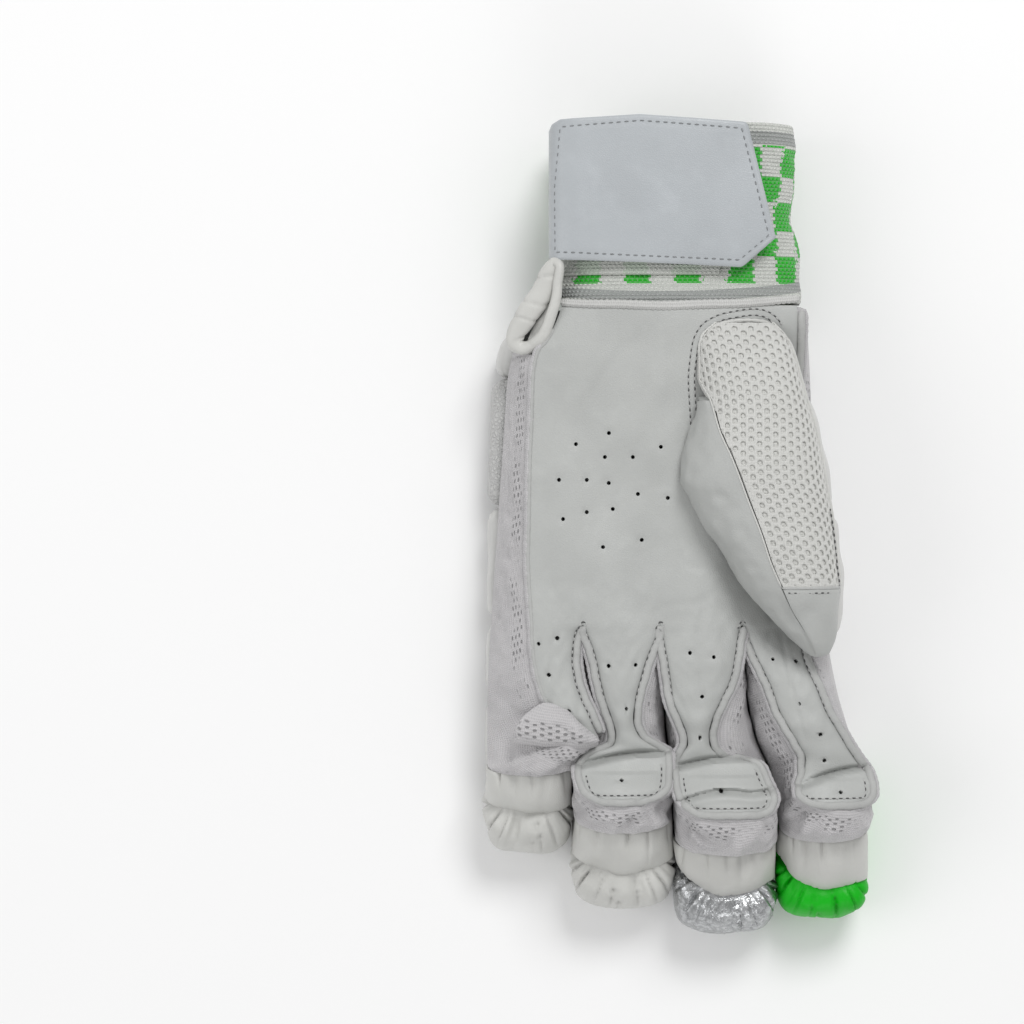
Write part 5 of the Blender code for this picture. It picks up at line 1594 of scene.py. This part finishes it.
def vent():
    t = np.arange(len(VENT) + 1)
    loop = np.array(VENT + VENT[:1])
    fine = np.linspace(0, len(VENT), 150, endpoint=False)
    # smooth closed curve through the table
    cols = []
    for k in range(5):
        v = np.array(VENT)[:, k]
        i = np.floor(fine).astype(int)
        w = fine - i
        p0, p1, p2, p3 = (v[(i + d) % len(VENT)] for d in (-1, 0, 1, 2))
        cols.append(0.5 * (2 * p1 + (p2 - p0) * w + (2 * p0 - 5 * p1 + 4 * p2 - p3) * w ** 2 + (3 * p1 - p0 - 3 * p2 + p3) * w ** 3))
    path = np.stack(cols[:3], axis=1)
    wide = cols[3]

    def folds(s, a):
        broad = np.interp(s, [0, 6, 26, 36], [0.5, 1.0, 0.9, 0.2])
        one = -0.8 * broad * (1 - np.abs(np.sin(s * math.pi / 8.3 + a * 0.55 + 0.5 * np.sin(s * 0.31)))) ** 5.0
        return one + 0.15 * np.sin(s * 0.45 + a)

    parts = Parts()
    parts.add(*tube(path, wide, cols[4], sides=28, closed=True, wrinkle=folds))
    made = parts.make("slit_binding_leather", M["white"], "binding", angle=0)
    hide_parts("vent_binding")
    # lining that turns in from the rolled edge
    axis_y = np.array([66.0, 70.0, 76.0, 82.0, 90.0])
    axis_x = np.array([-56.4, -54.8, -51.6, -48.8, -45.6])
    ring = path[:, None, :]
    mid_y = np.clip(path[:, 1], 66.0, 90.0)
    mid = np.stack([np.interp(mid_y, axis_y, axis_x), mid_y, path[:, 2]], axis=1)[:, None, :]
    w = np.linspace(0.0, 1.0, 9)[None, :, None]
    sheet = ring * (1 - 0.80 * w) + mid * 0.80 * w
    sheet[..., 2] -= (0.6 + 5.0 * w[..., 0] ** 1.3)
    sheet[..., 2] += 0.5 * fuzz(sheet, 7.0, 161) * w[..., 0]
    p = sheet.reshape(-1, 3)
    n, m = sheet.shape[:2]
    i, j = np.meshgrid(np.arange(n), np.arange(m - 1), indexing="ij")
    k = (i + 1) % n
    cells = np.stack([i * m + j, k * m + j, k * m + j + 1, i * m + j + 1], axis=-1).reshape(-1, 4)
    cells = outward(p, cells, (0, 0, 1))
    shell("slit_lining", p, cells, 0.7, M["lining"], "binding")


vent()

# back cloth: the CAD sheet keeps its shape and takes a woven look
for node in ("back_panel",):
    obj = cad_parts[node]
    obj.data.materials.clear()
    obj.data.materials.append(M["cloth"])

BOUND.make("leather_bound_edges", M["edge"], "palm_leather", angle=0)
SEAM.make("turned_knit_seams", M["seam_knit"], "knit", angle=0)
STITCH.make("white_stitching", M["thread"], "binding", angle=0)
# near-black strands between the stitches: painted shade of the needle holes
NEEDLE_HOLE_SHADE.make("needle_hole_shade", M["needle"], "binding", angle=0)
GREY_STITCH.make("strap_stitching", M["grey_thread"], "strap_leather", angle=0)


# ------------------------------------------------------------------ stage, light, camera
def stage():
    mesh = bpy.data.meshes.new("floor")
    w = 3.0
    mesh.from_pydata([(-w, -w, 0), (w, -w, 0), (w, w, 0), (-w, w, 0)], [], [(0, 1, 2, 3)])
    floor = bpy.data.objects.new("floor", mesh)
    bpy.context.scene.collection.objects.link(floor)
    mat = bpy.data.materials.new("floor_look")
    mat.use_nodes = True
    node = mat.node_tree.nodes["Principled BSDF"]
    node.inputs["Base Color"].default_value = (0.92, 0.92, 0.92, 1)
    node.inputs["Roughness"].default_value = 0.8
    node.inputs["Specular IOR Level"].default_value = 0.1
    mesh.materials.append(mat)
    world = bpy.data.worlds.new("studio")
    world.use_nodes = True
    world.node_tree.nodes["Background"].inputs[0].default_value = (1, 1, 1, 1)
    world.node_tree.nodes["Background"].inputs[1].default_value = 0.50
    bpy.context.scene.world = world

    def area(name, at, aim, size, power):
        light = bpy.data.lights.new(name, "AREA")
        light.shape = "DISK"
        light.size = size
        light.energy = power
        obj = bpy.data.objects.new(name, light)
        obj.location = at
        from mathutils import Vector
        obj.rotation_euler = (Vector(aim) - Vector(at)).to_track_quat("-Z", "Y").to_euler()
        bpy.context.scene.collection.objects.link(obj)

    area("key", (0.45, 1.25, 1.6), (0, 0, 0), 0.8, 21)
    area("fill", (-1.4, -0.1, 1.2), (0, 0, 0), 1.2, 6.5)
    area("front", (0.3, -1.4, 1.0), (0, 0, 0), 1.0, 4)


def camera():
    data = bpy.data.cameras.new("camera")
    data.sensor_width = 36.0
    data.lens = 36.0 * 1.155 / (0.355 * 1.024)
    data.clip_start, data.clip_end = 0.05, 20
    obj = bpy.data.objects.new("camera", data)
    obj.location = ((-60.7 + SHIFT[0]) * MM, (5.0 + SHIFT[1]) * MM, 1.2)
    obj.rotation_euler = (0, 0, 0)
    bpy.context.scene.collection.objects.link(obj)
    bpy.context.scene.camera = obj


stage()
camera()
bpy.context.scene.view_settings.view_transform = "Standard"
